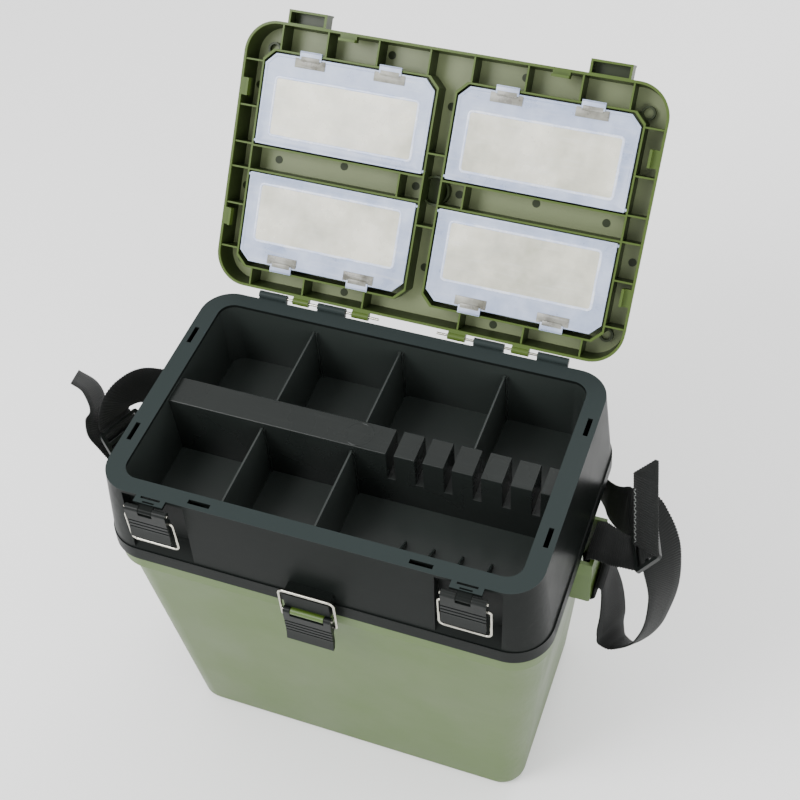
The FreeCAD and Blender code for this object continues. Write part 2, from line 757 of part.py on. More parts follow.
def make_tier():
    outside = tapered("TierOutside", [
        ("step_height", even("step_half_x"), even("step_half_y"), "step_corner"),
        ("rim_height", even("rim_half_x"), even("rim_half_y"), "rim_corner")])
    skirt = tapered("TierSkirt", [
        ("skirt_bottom", even("skirt_half_x"), even("skirt_half_y"), "skirt_corner"),
        ("step_height", even("skirt_half_x - 0.6"), even("skirt_half_y - 0.6"), "skirt_corner - 0.6")])
    inside = tapered("TierInside", [
        ("bin_mouth_height + seat_gap", even("step_half_x - tier_wall"), even("step_half_y - tier_wall"),
         "step_corner - tier_wall"),
        ("rim_height - rim_plate", even("rim_half_x - tier_wall"), even("rim_half_y - tier_wall"),
         "rim_corner - tier_wall")])
    skirt_inside = tapered("SkirtInside", [
        ("skirt_bottom - 1", even("collar_half_x + skirt_gap"), even("collar_half_y + skirt_gap"),
         "collar_corner + skirt_gap"),
        ("bin_mouth_height + seat_gap", even("collar_half_x + skirt_gap"), even("collar_half_y + skirt_gap"),
         "collar_corner + skirt_gap")])
    shell = cut("TierShell", joined("TierOuter", [outside, skirt]), [inside, skirt_inside])
    mouth = tapered("TrayMouth", [
        basin_level("rim_height - rim_plate - 1", "0"),
        basin_level("rim_height + 1", "0")])
    housings, recesses = zip(*(latch_recess(side) for side in (-1, 1)))
    solids = [cut("TierOpened", joined("TierAndHousings", [shell] + list(housings)), [mouth])]
    cuts = list(recesses) + rim_slots() + [lid_bore("LidHingeBore"), rear_bore("RearTierBore")]
    for side in (-1, 1):
        added, removed = latch_platform(side)
        solids += added
        cuts += removed
    for i, span in enumerate(LID_TIER_SPANS):
        solids.append(rod("LidTierBarrel%d" % i, span, "hinge_y", "hinge_height", "knuckle_radius"))
        solids.append(block("LidTierArm%d" % i, span, ("rim_half_y - 2", "hinge_y"),
                            ("hinge_height - knuckle_radius - 2", "rim_height - 0.2")))
    for i, span in enumerate(REAR_TIER_SPANS):
        solids += rear_knuckle("RearTier%d" % i, span, True)
    solids.append(block("Catch", even("catch_half_x"), ("catch_front", "-collar_half_y - 2 * skirt_gap"),
                        ("catch_bottom", "catch_top")))
    solids.append(block("CatchRoot", even("catch_half_x"), ("catch_front + 2", "-step_half_y + 1.5"),
                        ("bin_mouth_height + seat_gap + 0.4", "catch_top")))
    finish(cut("Tier", joined("TierSolids", solids), cuts), "tier_shell")


# Seat lid, drawn closed: lid heights are over the floor, the underside faces the tray

def rib_height():
    return "rim_height + rib_lift", "rim_height + lid_height - lid_roof"


def cell_outline(name, side, grow, extra):
    """The cut-cornered block around one side's pair of cells, grown outward and taller by extra."""
    sign = "" if side > 0 else "-"
    middle = "(rim_height + rib_lift + rim_height + lid_height - lid_roof - split) / 2"
    depth = "lid_height - lid_roof - rib_lift - split"
    near, far = "%s(cell_inner_x - (%s))" % (sign, grow), "%s(cell_outer_x + (%s))" % (sign, grow)
    front, back = "cell_front - (%s)" % grow, "cell_back + (%s)" % grow
    c = "cell_chamfer"
    near_c = "%s(cell_inner_x - (%s) + %s)" % (sign, grow, c)
    far_c = "%s(cell_outer_x + (%s) - %s)" % (sign, grow, c)
    return profile(name, "XY", middle, [
        (near_c, front), (far_c, front), (far, "%s + %s" % (front, c)), (far, "%s - %s" % (back, c)),
        (far_c, back), (near_c, back), (near, "%s - %s" % (back, c)), (near, "%s + %s" % (front, c))],
        depth + extra)


SIDE_RIB_Y = ["-81.2", "-41.7", "-9.4", "12.6", "45.1", "84.1"]
FRONT_RIB_X = ["19.3", "65.6", "112", "154"]
BACK_RIB_X = ["44.3", "101.5", "152.5"]


def thick(middle):
    """The span of a lid rib about its middle line."""
    return "%s - rib_plate / 2" % middle, "%s + rib_plate / 2" % middle


def edge_ribs():
    """The ribs between the lid's outer wall and the wall around the cells."""
    ribs = []
    low, high = rib_height()
    heights = (low, high + " + 0.5")
    for side in (-1, 1):
        sign = "" if side > 0 else "-"
        tag = "R" if side > 0 else "L"
        reach = ("cell_outer_x + 0.5", "lid_half_x - 1") if side > 0 else ("-lid_half_x + 1", "-cell_outer_x - 0.5")
        for i, y in enumerate(SIDE_RIB_Y):
            ribs.append(block("SideRib%s%d" % (tag, i), reach, thick(y), heights))
        for i, x in enumerate(FRONT_RIB_X):
            ribs.append(block("FrontRib%s%d" % (tag, i), thick(sign + x), ("-lid_half_y + 1", "cell_front - 0.5"),
                              heights))
        for i, x in enumerate(BACK_RIB_X):
            ribs.append(block("BackRib%s%d" % (tag, i), thick(sign + x), ("cell_back + 0.5", "lid_half_y - 1"),
                              heights))
    return ribs


def band_ribs():
    """The ribs across the lid's middle band and its middle column."""
    ribs = []
    heights = (rib_height()[0], rib_height()[1] + " - split")
    for side in (-1, 1):
        sign = "" if side > 0 else "-"
        tag = "R" if side > 0 else "L"
        inner = ("cell_inner_x - 0.5", "cell_outer_x + 0.5") if side > 0 else (
            "-cell_outer_x - 0.5", "-cell_inner_x + 0.5")
        ribs.append(block("BandFront" + tag, inner, ("band_front - cell_wall", "band_front"), heights))
        ribs.append(block("BandBack" + tag, inner, ("band_back", "band_back + cell_wall"), heights))
        ribs.append(block("BandCross" + tag, thick(sign + "lid_slot_x"), ("band_front", "band_back"), heights))
    for i, y in enumerate(("-29.2", "32.7")):
        ribs.append(block("ColumnRib%d" % i, even("cell_inner_x"), thick(y), heights))
    return ribs


CORNER_BOSSES = [("167", "-92.5"), ("-167", "-92.5"), ("169", "94"), ("-169", "94")]


def ring_boss(name, x, y, radius, deep, top):
    """A low round boss with a blind hole in its face."""
    outer = post(name, x, y, ("%s - %s" % (top, deep), top), radius)
    inner = post(name + "Hole", x, y, ("%s - %s - 1" % (top, deep), "%s - 0.6" % top), radius + " - 1.8")
    return cut(name + "Ring", outer, [inner])


def snap_tabs():
    """Tabs that drop into the rim's slots, each with a root that joins it to the lid wall."""
    pieces = []
    root = ("rim_height + lid_gap", "rim_height + tab_root")
    reach = ("rim_height - tab_depth", "rim_height + tab_root")
    half = "tab_length / 2"
    for sx in ("", "-"):
        tag = "L" if sx else "R"
        x = "%srim_slot_front_x" % sx
        pieces.append(block("FrontTab" + tag, ("%s - %s" % (x, half), "%s + %s" % (x, half)),
                            ("rim_slot_front_y - tab_plate / 2", "rim_slot_front_y + tab_plate / 2"), reach))
        pieces.append(block("FrontTabRoot" + tag, ("%s - %s" % (x, half), "%s + %s" % (x, half)),
                            ("-lid_half_y + 1", "rim_slot_front_y"), root))
        for sy in ("", "-"):
            y = "%srim_slot_side_y" % sy
            name = tag + ("F" if sy else "B")
            across = ("%s - %s" % (y, half), "%s + %s" % (y, half))
            pieces.append(block("SideTab" + name, ("%srim_slot_side_x - tab_plate / 2" % sx,
                                                   "%srim_slot_side_x + tab_plate / 2" % sx), across, reach))
            span = ("rim_slot_side_x", "lid_half_x - 1") if not sx else ("-lid_half_x + 1", "-rim_slot_side_x")
            pieces.append(block("SideTabRoot" + name, span, across, root))
    return pieces


def catch_hook(side):
    """One hollow hook on the lid's front, that the latch's bail closes over."""
    tag = "Right" if side > 0 else "Left"
    middle = "latch_x" if side > 0 else "-latch_x"
    x = ("%s - hook_half_x" % middle, "%s + hook_half_x" % middle)
    base = "rim_height + lid_gap"
    body = block("Hook" + tag, x, ("hook_front", "-lid_half_y + 1.5"), (base, "hook_top"))
    lip = block("HookLip" + tag, x, ("hook_front", "hook_front + hook_lip"), (base, "hook_lip_top"))
    space = block("HookSpace" + tag, ("%s - hook_half_x + hook_wall" % middle, "%s + hook_half_x - hook_wall" % middle),
                  ("hook_front + hook_wall", "-lid_half_y - 0.4"), (base + " - 1", "hook_top - hook_wall"))
    return [body, lip], space


def swing_open(thing):
    """Turns a lid piece, drawn closed, back about the lid hinge to where it stands open."""
    thing.Placement = FreeCAD.Placement(FreeCAD.Vector(), FreeCAD.Rotation(FreeCAD.Vector(1, 0, 0), -1))
    bind(thing, "Placement.Rotation.Angle", "0 - lid_open_angle")
    bind(thing, "Placement.Base.y",
         "hinge_y - hinge_y * cos(lid_open_angle) - hinge_height * sin(lid_open_angle)")
    bind(thing, "Placement.Base.z",
         "hinge_height + hinge_y * sin(lid_open_angle) - hinge_height * cos(lid_open_angle)")
    return thing


DOOR_TOP_ROW = {"door_front_left": (-1, True), "door_front_right": (1, True),
                "door_back_left": (-1, False), "door_back_right": (1, False)}


def door_frame(side, front):
    """The door's spans: x low and high, latch edge, hinge edge and which way the latch lies."""
    x = ("door_inner_x", "door_outer_x") if side > 0 else ("-door_outer_x", "-door_inner_x")
    if front:
        return x, "door_latch_edge_front", "door_hinge_edge_front", -1
    return x, "door_latch_edge_back", "door_hinge_edge_back", 1


def peg_line(front):
    if front:
        return "door_hinge_edge_front - door_peg_inset"
    return "door_hinge_edge_back + door_peg_inset"


def peg_bores():
    """Holes in the cell walls for the doors' pegs."""
    bores = []
    for side in (-1, 1):
        sign = "" if side > 0 else "-"
        for front in (True, False):
            for i, (low, high) in enumerate((("cell_inner_x - cell_wall - 0.5", "cell_inner_x + 0.5"),
                                             ("cell_outer_x - 0.5", "cell_outer_x + cell_wall + 0.5"))):
                span = (low, high) if side > 0 else ("-(%s)" % high, "-(%s)" % low)
                bores.append(rod("PegBore%s%s%d" % ("R" if side > 0 else "L", "F" if front else "B", i), span,
                                 peg_line(front), "door_peg_height", "door_peg_radius + 0.08"))
    return bores


def lid_levels(base, top):
    levels = [rounded_level(base, "lid_half_x", "lid_half_y", "lid_corner")]
    for turn in ROUND_STEPS:
        levels.append(rounded_level("%s - lid_round * (1 - sin(%d))" % (top, turn), "lid_half_x", "lid_half_y", "lid_corner",
                           "lid_taper + lid_round * (1 - cos(%d))" % turn))
    return levels


def make_lid():
    base = "rim_height + lid_gap"
    top = "rim_height + lid_height"
    outside = tapered("LidOutside", lid_levels(base, top))
    inside = tapered("LidInside", [
        rounded_level(base + " - 1", "lid_half_x", "lid_half_y", "lid_corner", "lid_wall"),
        rounded_level(top + " - lid_roof", "lid_half_x", "lid_half_y", "lid_corner", "lid_wall + lid_taper")])
    shell = cut("LidShell", outside, [inside])
    roof_under = rib_height()[1]
    bosses = [ring_boss("CornerBoss%d" % i, x, y, "6", "5.5", roof_under + " + 0.5")
              for i, (x, y) in enumerate(CORNER_BOSSES)]
    clear = [cell_outline("CellClear%d" % i, side, "cell_wall + split", "") for i, side in enumerate((-1, 1))]
    edging = cut("EdgeRibs", joined("EdgeRibsAndBosses", edge_ribs() + bosses), clear)
    solids = [shell, trimmed("EdgeRibsInside", edging, outside)] + snap_tabs()
    cuts = [lid_bore("LidBore")]
    for side in (-1, 1):
        hook, hook_space = catch_hook(side)
        solids += hook
        cuts.append(hook_space)
    for i, span in enumerate(LID_KNUCKLE_SPANS):
        solids.append(rod("LidBarrel%d" % i, span, "hinge_y", "hinge_height", "knuckle_radius"))
        solids.append(block("LidArm%d" % i, span, ("lid_half_y - 1.5", "hinge_y"),
                            (base, "hinge_height + knuckle_radius")))
    finish(swing_open(cut("Lid", joined("LidSolids", solids), cuts)), "lid_shell")


def make_cells():
    """The walls of the lid's four cells, with the bands and the column between them."""
    walls = []
    for i, side in enumerate((-1, 1)):
        ring = cell_outline("CellRing%d" % i, side, "cell_wall", "")
        space = cell_outline("CellSpace%d" % i, side, "0", " + 0.4")
        walls.append(cut("CellWall%d" % i, ring, [space]))
    walls += band_ribs()
    walls.append(ring_boss("MiddleBoss", "0", "2.1", "13", "8", rib_height()[1] + " - split"))
    finish(swing_open(cut("Cells", joined("CellSolids", walls), peg_bores())), "lid_cells")


def make_doors():
    for label, (side, front) in DOOR_TOP_ROW.items():
        x, latch_edge, hinge_edge, way = door_frame(side, front)
        low, high = (latch_edge, hinge_edge) if front else (hinge_edge, latch_edge)
        c = "cell_chamfer"
        toward = "+" if front else "-"
        outline = [(x[0], hinge_edge), (x[1], hinge_edge), (x[1], "%s %s %s" % (latch_edge, toward, c)),
                   ("%s - %s" % (x[1], c), latch_edge), ("%s + %s" % (x[0], c), latch_edge),
                   (x[0], "%s %s %s" % (latch_edge, toward, c))]
        plate = profile("Plate_" + label, "XY", "door_bottom + door_plate / 2", outline, "door_plate")
        margins = ("emboss_latch", "emboss_hinge") if front else ("emboss_hinge", "emboss_latch")
        emboss = block("Emboss_" + label, ("%s + emboss_side" % x[0], "%s - emboss_side" % x[1]),
                       ("%s + %s" % (low, margins[0]), "%s - %s" % (high, margins[1])),
                       ("door_bottom - door_emboss", "door_bottom + 0.5"))
        solids = [plate, emboss]
        middle = "((%s) + (%s)) / 2" % x
        for n, shift in enumerate(("-", "+")):
            centre = "%s %s door_tab_x" % (middle, shift)
            span = sorted(("%s" % latch_edge, "%s %s door_tab_reach" % (latch_edge, "-" if front else "+")),
                          key=reckon)
            inner = "%s %s 3" % (latch_edge, toward)
            reach = (span[0], inner) if front else (inner, span[1])
            solids.append(block("Tab%d_%s" % (n, label), ("%s - door_tab_half" % centre, "%s + door_tab_half" % centre),
                                reach, ("door_bottom - 1.2", "door_bottom + 0.4")))
        pegs = peg_line(front)
        ends = [(("%s - 2.6" % x[0], "%s + 3" % x[0]), (x[0], "%s + 3" % x[0])),
                (("%s - 3" % x[1], "%s + 2.6" % x[1]), ("%s - 3" % x[1], x[1]))]
        for n, (peg_span, ear_span) in enumerate(ends):
            solids.append(rod("Peg%d_%s" % (n, label), peg_span, pegs, "door_peg_height", "door_peg_radius"))
            solids.append(block("Ear%d_%s" % (n, label), ear_span, ("%s - 1.8" % pegs, "%s + 1.8" % pegs),
                                ("door_bottom + 0.5", "door_peg_height + 1.5")))
        finish(swing_open(joined("Door_" + label, solids)), label)


def make_pins():
    for label, low, high in LID_PIN_SPANS:
        finish(rod("Pin_" + label, (low, high), "hinge_y", "hinge_height", "pin_radius"), label)
    for label, low, high in REAR_PIN_SPANS:
        finish(rod("Pin_" + label, (low, high), "rear_hinge_y", "rear_hinge_height", "rear_pin_radius"), label)
    for tag, middle in (("left", "-latch_x"), ("right", "latch_x")):
        finish(rod("LatchPin_" + tag, ("%s - latch_pin_half" % middle, "%s + latch_pin_half" % middle),
                   "latch_pin_y", "latch_pin_height", "pin_radius"), "latch_pin_" + tag)
    finish(rod("LatchPin_middle", even("mid_pin_half"), "mid_pin_y", "mid_pin_height", "pin_radius"),
           "latch_pin_middle")


def make_lever(label, x, half_x, pin_y, pin_height, length, drop, inset, tongue, bore, peg_reach, bail_half, ribs):
    """A latch lever that hangs from its pin, with grooves for the thumb and bores for the bail."""
    body = profile("LeverBody_" + label, "YZ", x, [
        ("%s - 3.2" % pin_y, "%s" % pin_height),
        ("%s + 0.6" % pin_y, "%s" % pin_height),
        ("%s + %s + 2.6" % (pin_y, inset), "%s - %s + 3" % (pin_height, drop)),
        ("%s + %s + 2.6" % (pin_y, inset), "%s - %s - 2.4" % (pin_height, drop)),
        ("%s + 0.9" % pin_y, "%s - %s - 7" % (pin_height, drop)),
        ("%s + 0.9" % pin_y, "%s - %s + 8" % (pin_height, length)),
        ("%s - 1.4" % pin_y, "%s - %s" % (pin_height, length)),
        ("%s - 4.6" % pin_y, "%s - %s" % (pin_height, length)),
        ("%s - 3.2" % pin_y, "%s - %s + 9" % (pin_height, length))], "2 * %s" % half_x)
    span = ("%s - %s" % (x, half_x), "%s + %s" % (x, half_x))
    barrel = rod("LeverBarrel_" + label, span, pin_y, pin_height, "3.2")
    cuts = [block("LeverGap_" + label, ("%s - %s - 0.4" % (x, tongue), "%s + %s + 0.4" % (x, tongue)),
                  ("%s - 4" % pin_y, "%s + 12" % pin_y), ("%s - 4" % pin_height, "%s + 4" % pin_height)),
            rod("LeverBore_" + label, ("%s - 40" % x, "%s + 40" % x), pin_y, pin_height, "bore_radius")]
    for n in range(ribs):
        low = "%s - %s + 12 + %d * 4.2" % (pin_height, length, n)
        cuts.append(block("Groove%d_%s" % (n, label), ("%s - 30" % x, "%s + 30" % x),
                          ("%s - 8" % pin_y, "%s - 2.5" % pin_y), (low, low + " + 1.5")))
    for n, sign in enumerate((-1, 1)):
        inner = "%s %s (%s - %s - 0.4)" % (x, "+" if sign > 0 else "-", bail_half, peg_reach)
        outer = "%s %s (%s + 1)" % (x, "+" if sign > 0 else "-", half_x)
        ends = (inner, outer) if sign > 0 else (outer, inner)
        cuts.append(rod("PegHole%d_%s" % (n, label), ends, "%s + %s" % (pin_y, inset),
                        "%s - %s" % (pin_height, drop), bore))
    finish(cut("Lever_" + label, joined("LeverSolids_" + label, [body, barrel]), cuts), label)


def make_latches():
    for tag, middle in (("left", "-latch_x"), ("right", "latch_x")):
        make_lever("latch_lever_" + tag, middle, "lever_half_x", "latch_pin_y", "latch_pin_height", "lever_length",
                   "bail_drop", "bail_inset", "tongue_half_x", "bail_bore", "bail_peg_reach", "bail_half_x", 3)
        finish(bail("Bail_" + tag, middle, "latch_pin_y + bail_inset", "latch_pin_height - bail_drop",
                    "0 - bail_length", "bail_half_x", "bail_peg_reach", "bail_wire", "bail_bend"),
               "latch_bail_" + tag)
    make_lever("latch_lever_middle", "0", "mid_lever_half_x", "mid_pin_y", "mid_pin_height", "mid_lever_length",
               "mid_bail_drop", "mid_bail_inset", "mid_tongue_half_x", "mid_bail_bore", "bail_peg_reach",
               "mid_bail_half_x", 4)
    finish(bail("Bail_middle", "0", "mid_pin_y + mid_bail_inset", "mid_pin_height - mid_bail_drop",
                "mid_bail_length", "mid_bail_half_x", "bail_peg_reach", "mid_bail_wire", "bail_bend"),
           "latch_bail_middle")


# Shoulder strap: each route point is a centre, then the direction across the webbing there

STRAP_RUN = [
    (234.2, -4.3, 298.4, -0.2, 0.92, -0.33), (226.9, 0, 295, -0.1, 0.97, -0.2),
    (216.5, 4.8, 290.5, -0.05, 1, -0.07), (205, 10, 286.5, 0, 1, 0), (199.5, 11.5, 282, 0, 1, 0),
    (198, 11.5, 275, 0, 1, 0), (198, 11.5, 235, 0, 1, 0), (199.5, 11.5, 226.5, 0, 1, 0),
    (203.5, 11.5, 223.5, 0, 1, 0), (207.5, 11.5, 227, 0, 1, 0), (208.2, 11.5, 238, 0, 1, 0),
    (209.3, 11.5, 242.4, 0, 1, 0), (211.4, 11.5, 243.8, 0, 1, 0), (213.6, 11.5, 241.8, 0, 1, 0),
    (214.8, 11.5, 237, 0.03, 1, 0), (215.8, 11.5, 227.5, 0.06, 1, 0),
    (219.5, 11, 203.5, 0.24, 0.97, 0), (222, 9.5, 167.5, 0.42, 0.91, -0.05),
    (224, 9.5, 147.5, 0.34, 0.89, -0.31), (229, 8, 141.5, 0.21, 0.83, -0.52), (236, 6, 145, 0.08, 0.72, -0.68),
    (243, 3.5, 152, 0.02, 0.6, -0.8), (251, 3, 167, 0.12, 0.56, -0.82), (258, 4, 187, 0.27, 0.6, -0.75),
    (262, 6, 214.5, 0.4, 0.66, -0.63), (263, 9.5, 240.5, 0.52, 0.71, -0.46),
    (259.5, 14.5, 262, 0.64, 0.73, -0.25), (254.4, 21.4, 277, 0.67, 0.75, 0.02),
    (245.4, 28.8, 292.5, 0.51, 0.81, 0.3), (236.8, 35.2, 300.4, 0.3, 0.85, 0.42),
    (224.8, 37.2, 298.9, -0.1, 0.75, 0.65), (217.4, 48.6, 285.5, 0, 0.6, 0.8), (209, 62, 269, 0.05, 0.35, 0.93),
    (199, 81, 249, 0.05, 0.15, 0.99), (190, 98, 236, 0, 0, 1), (178, 114, 229, 0, 0, 1),
    (160, 121.5, 225, 0, 0, 1), (120, 123, 222, 0, 0, 1), (0, 125, 216, 0, 0, 1), (-120, 123, 222, 0, 0, 1),
    (-160, 121.5, 225, 0, 0, 1), (-178, 114, 229, 0, 0, 1), (-191, 97, 238, 0, 0, 1),
    (-204, 79, 262, 0, 0, 1), (-217, 62, 286, -0.2, 0, 0.98), (-230, 49, 296.5, -0.38, 0.05, 0.92),
    (-240.5, 34, 301.5, -0.32, -0.15, 0.93), (-245.2, 25.5, 302, -0.32, -0.38, 0.87),
    (-248.5, 18, 299.5, -0.31, -0.6, 0.74), (-251.3, 13.4, 293, -0.28, -0.8, 0.52),
    (-253, 11.6, 286, -0.24, -0.92, 0.32), (-253.8, 11.3, 280.4, -0.21, -0.96, 0.21)]
STRAP_RIGHT_END = [
    (246.4, -8.6, 315.3, -0.587, 0.571, -0.571), (241.4, 6, 335, -0.587, 0.571, -0.571),
    (236.4, 20.6, 354.7, -0.587, 0.571, -0.571), (231.9, 33.7, 372.4, -0.587, 0.571, -0.571)]
STRAP_LEFT = [
    (-223, 4, 283.5, 0.1, 0.95, -0.25), (-214, 8, 287.5, 0, 1, -0.1), (-205, 10.5, 286.5, 0, 1, 0),
    (-199.5, 11.5, 282, 0, 1, 0), (-198, 11.5, 275, 0, 1, 0), (-198, 11.5, 235, 0, 1, 0),
    (-199.5, 11.5, 226.5, 0, 1, 0), (-204, 11.5, 223, 0, 1, 0), (-211, 11.5, 217, 0, 1, 0),
    (-222, 10, 214, 0, 1, 0), (-234, 8, 221, 0, 1, -0.1), (-246, 4, 237, 0.05, 0.95, -0.3),
    (-256, -1, 256, 0.1, 0.8, -0.6), (-261, -6, 274, 0.12, 0.65, -0.75), (-261, -4, 290, 0.1, 0.6, -0.8),
    (-266, 10, 297, -0.16, 0.82, -0.55), (-281, 25, 300, -0.18, 0.8, -0.58), (-305, 36, 296, -0.35, 0.79, -0.5)]


def ribbon(name, stations, last_half="strap_half_width"):
    """Flat webbing through the route points, in ruled pieces."""
    half, thin = reckon("strap_half_width"), reckon("strap_thickness / 2")
    V = FreeCAD.Vector
    centres = [V(*station[:3]) for station in stations]
    last = len(stations) - 1
    outlines = []
    for i, station in enumerate(stations):
        across = V(*station[3:]).normalize()
        along = (centres[min(i + 1, last)] - centres[max(i - 1, 0)]).normalize()
        through = along.cross(across).normalize()
        wide = reckon(last_half) if i == last else half
        corners = [centres[i] + across * (u * wide) + through * (v * thin)
                   for u, v in ((-1, -1), (1, -1), (1, 1), (-1, 1))]
        outlines.append(Part.makePolygon(corners + corners[:1]))
    strip = DOC.addObject("Part::Feature", name)
    strip.Shape = Part.makeLoft(outlines, True, True)
    return strip


def slider(name, centre, long_way, short_way):
    """A strap adjuster: a plate with two slots and a bar between them."""
    plate = block(name + "Plate", even("slider_length / 2"), even("slider_width / 2"), even("slider_plate / 2"))

    def corner_edge(edge):
        ends = [v.Point for v in edge.Vertexes]
        return abs(ends[0].z - ends[1].z) > 1

    plate = softened(name + "Rounded", plate, "slider_corner", corner_edge)
    slots = []
    for n, sign in enumerate((-1, 1)):
        span = sorted(("%d * slider_bar / 2" % sign, "%d * (slider_bar / 2 + slider_slot)" % sign), key=reckon)
        slots.append(block("%sSlot%d" % (name, n), even("slider_slot_length / 2"), tuple(span),
                           even("slider_plate")))
    whole = cut(name, plate, slots)
    V = FreeCAD.Vector
    x, y = V(*long_way).normalize(), V(*short_way).normalize()
    whole.Placement = FreeCAD.Placement(V(*centre), FreeCAD.Rotation(x, y, x.cross(y), "XYZ"))
    return whole


def make_strap():
    finish(ribbon("StrapRun", STRAP_RUN), "strap_webbing_main")
    finish(ribbon("StrapRightEnd", STRAP_RIGHT_END, "strap_tip_half"), "strap_webbing_right_end")
    finish(ribbon("StrapLeft", STRAP_LEFT), "strap_webbing_left")
    finish(slider("SliderRight", (244.8, 1.2, 309.7), (0.282, -0.934, 0.218), (0.631, 0.352, 0.692)),
           "strap_slider_right")
    finish(slider("SliderLeft", (-244.8, 8, 267.3), (-0.208, -0.956, 0.206), (0.55, -0.2, -0.8)),
           "strap_slider_left")


# Building and writing

make_bin()
make_tier()
make_basin()
make_spine()
make_cradles()
make_dividers()
make_lid()
make_cells()
make_doors()
make_pins()
make_latches()
make_strap()
DOC.recompute()

failures = ["%s (%s)" % (thing.Name, thing.Label) for thing in DOC.Objects
            if "Invalid" in thing.State or "Error" in thing.State]
if failures:
    raise RuntimeError("failed: " + ", ".join(failures))

os.makedirs("parts", exist_ok=True)
for thing in FINISHED:
    shape = thing.Shape
    if shape.isNull() or not shape.isValid() or not shape.Solids:
        raise RuntimeError("%s has no valid solid" % thing.Label)
    print("%-24s solids %d  volume %.1f cm3" % (thing.Label, len(shape.Solids), shape.Volume / 1000))
    shape.exportStep("parts/%s.step" % thing.Label)
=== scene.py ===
import json
import math

import bmesh
import bpy
from mathutils import Matrix, Vector

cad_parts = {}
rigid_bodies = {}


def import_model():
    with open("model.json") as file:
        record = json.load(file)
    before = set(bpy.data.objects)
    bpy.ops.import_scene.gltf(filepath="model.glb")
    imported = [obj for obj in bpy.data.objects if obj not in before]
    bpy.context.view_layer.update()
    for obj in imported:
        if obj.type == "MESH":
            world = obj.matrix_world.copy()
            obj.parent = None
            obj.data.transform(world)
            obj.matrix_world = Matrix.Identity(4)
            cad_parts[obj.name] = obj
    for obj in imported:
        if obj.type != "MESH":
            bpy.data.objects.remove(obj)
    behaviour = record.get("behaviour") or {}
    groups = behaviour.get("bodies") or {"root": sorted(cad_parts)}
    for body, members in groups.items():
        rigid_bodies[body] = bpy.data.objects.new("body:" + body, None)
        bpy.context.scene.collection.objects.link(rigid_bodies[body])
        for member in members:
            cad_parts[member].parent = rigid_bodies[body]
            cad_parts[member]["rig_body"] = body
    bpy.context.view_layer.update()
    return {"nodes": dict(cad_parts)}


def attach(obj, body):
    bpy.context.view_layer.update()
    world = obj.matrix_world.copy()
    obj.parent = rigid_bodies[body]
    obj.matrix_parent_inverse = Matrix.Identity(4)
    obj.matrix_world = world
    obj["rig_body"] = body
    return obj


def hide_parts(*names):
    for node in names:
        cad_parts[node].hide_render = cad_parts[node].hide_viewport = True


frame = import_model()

bl_info = {
    "name": "Fishing seat box",
    "version": (1, 0, 0),
    "blender": (4, 5, 0),
    "location": "View3D > Sidebar > Seat box",
    "description": "Gives the seat box its finishes, flap doors, shoulder strap and studio stage",
    "category": "Object",
}

MM = 0.001

# The lid stands open: closed lid places turn about this line by this angle
LID_HINGE = Vector((0, 120.6, 371.56))
LID_ANGLE = math.radians(127.4)
LID_UP = Vector((0, math.sin(LID_ANGLE), math.cos(LID_ANGLE)))

# Heights in millimetres where the paint on a moulding changes: a painted highlight on the bin above
# FLANGE_TOP and a lighter grey on the tray section above RIM_TOP; then the same for the lid, from its hinge
# line: a painted highlight on its wall edges, a painted reflection under its roof and a lighter outside
FLANGE_TOP = 266.3
RIM_TOP = 369.6
WALL_EDGE_RISE = 0.34
ROOF_RISE = 21.4
OUTSIDE_RISE = 23.0

# Moulding marks under the lid's roof: places in millimetres with the lid closed, sizes in metres
MARK_HEIGHT = 393.3
MARK_SPOTS = [(-150, 2), (-20, 2), (20, 2), (150, 2), (-88, -3), (88, -3), (-178, 30), (178, 30),
              (-178, -60), (178, -60), (-60, -104), (60, -104), (-70, 107), (70, 107), (0, -70), (0, 70)]
MARK_WIDTH = 0.007
MARK_THICKNESS = 0.0005

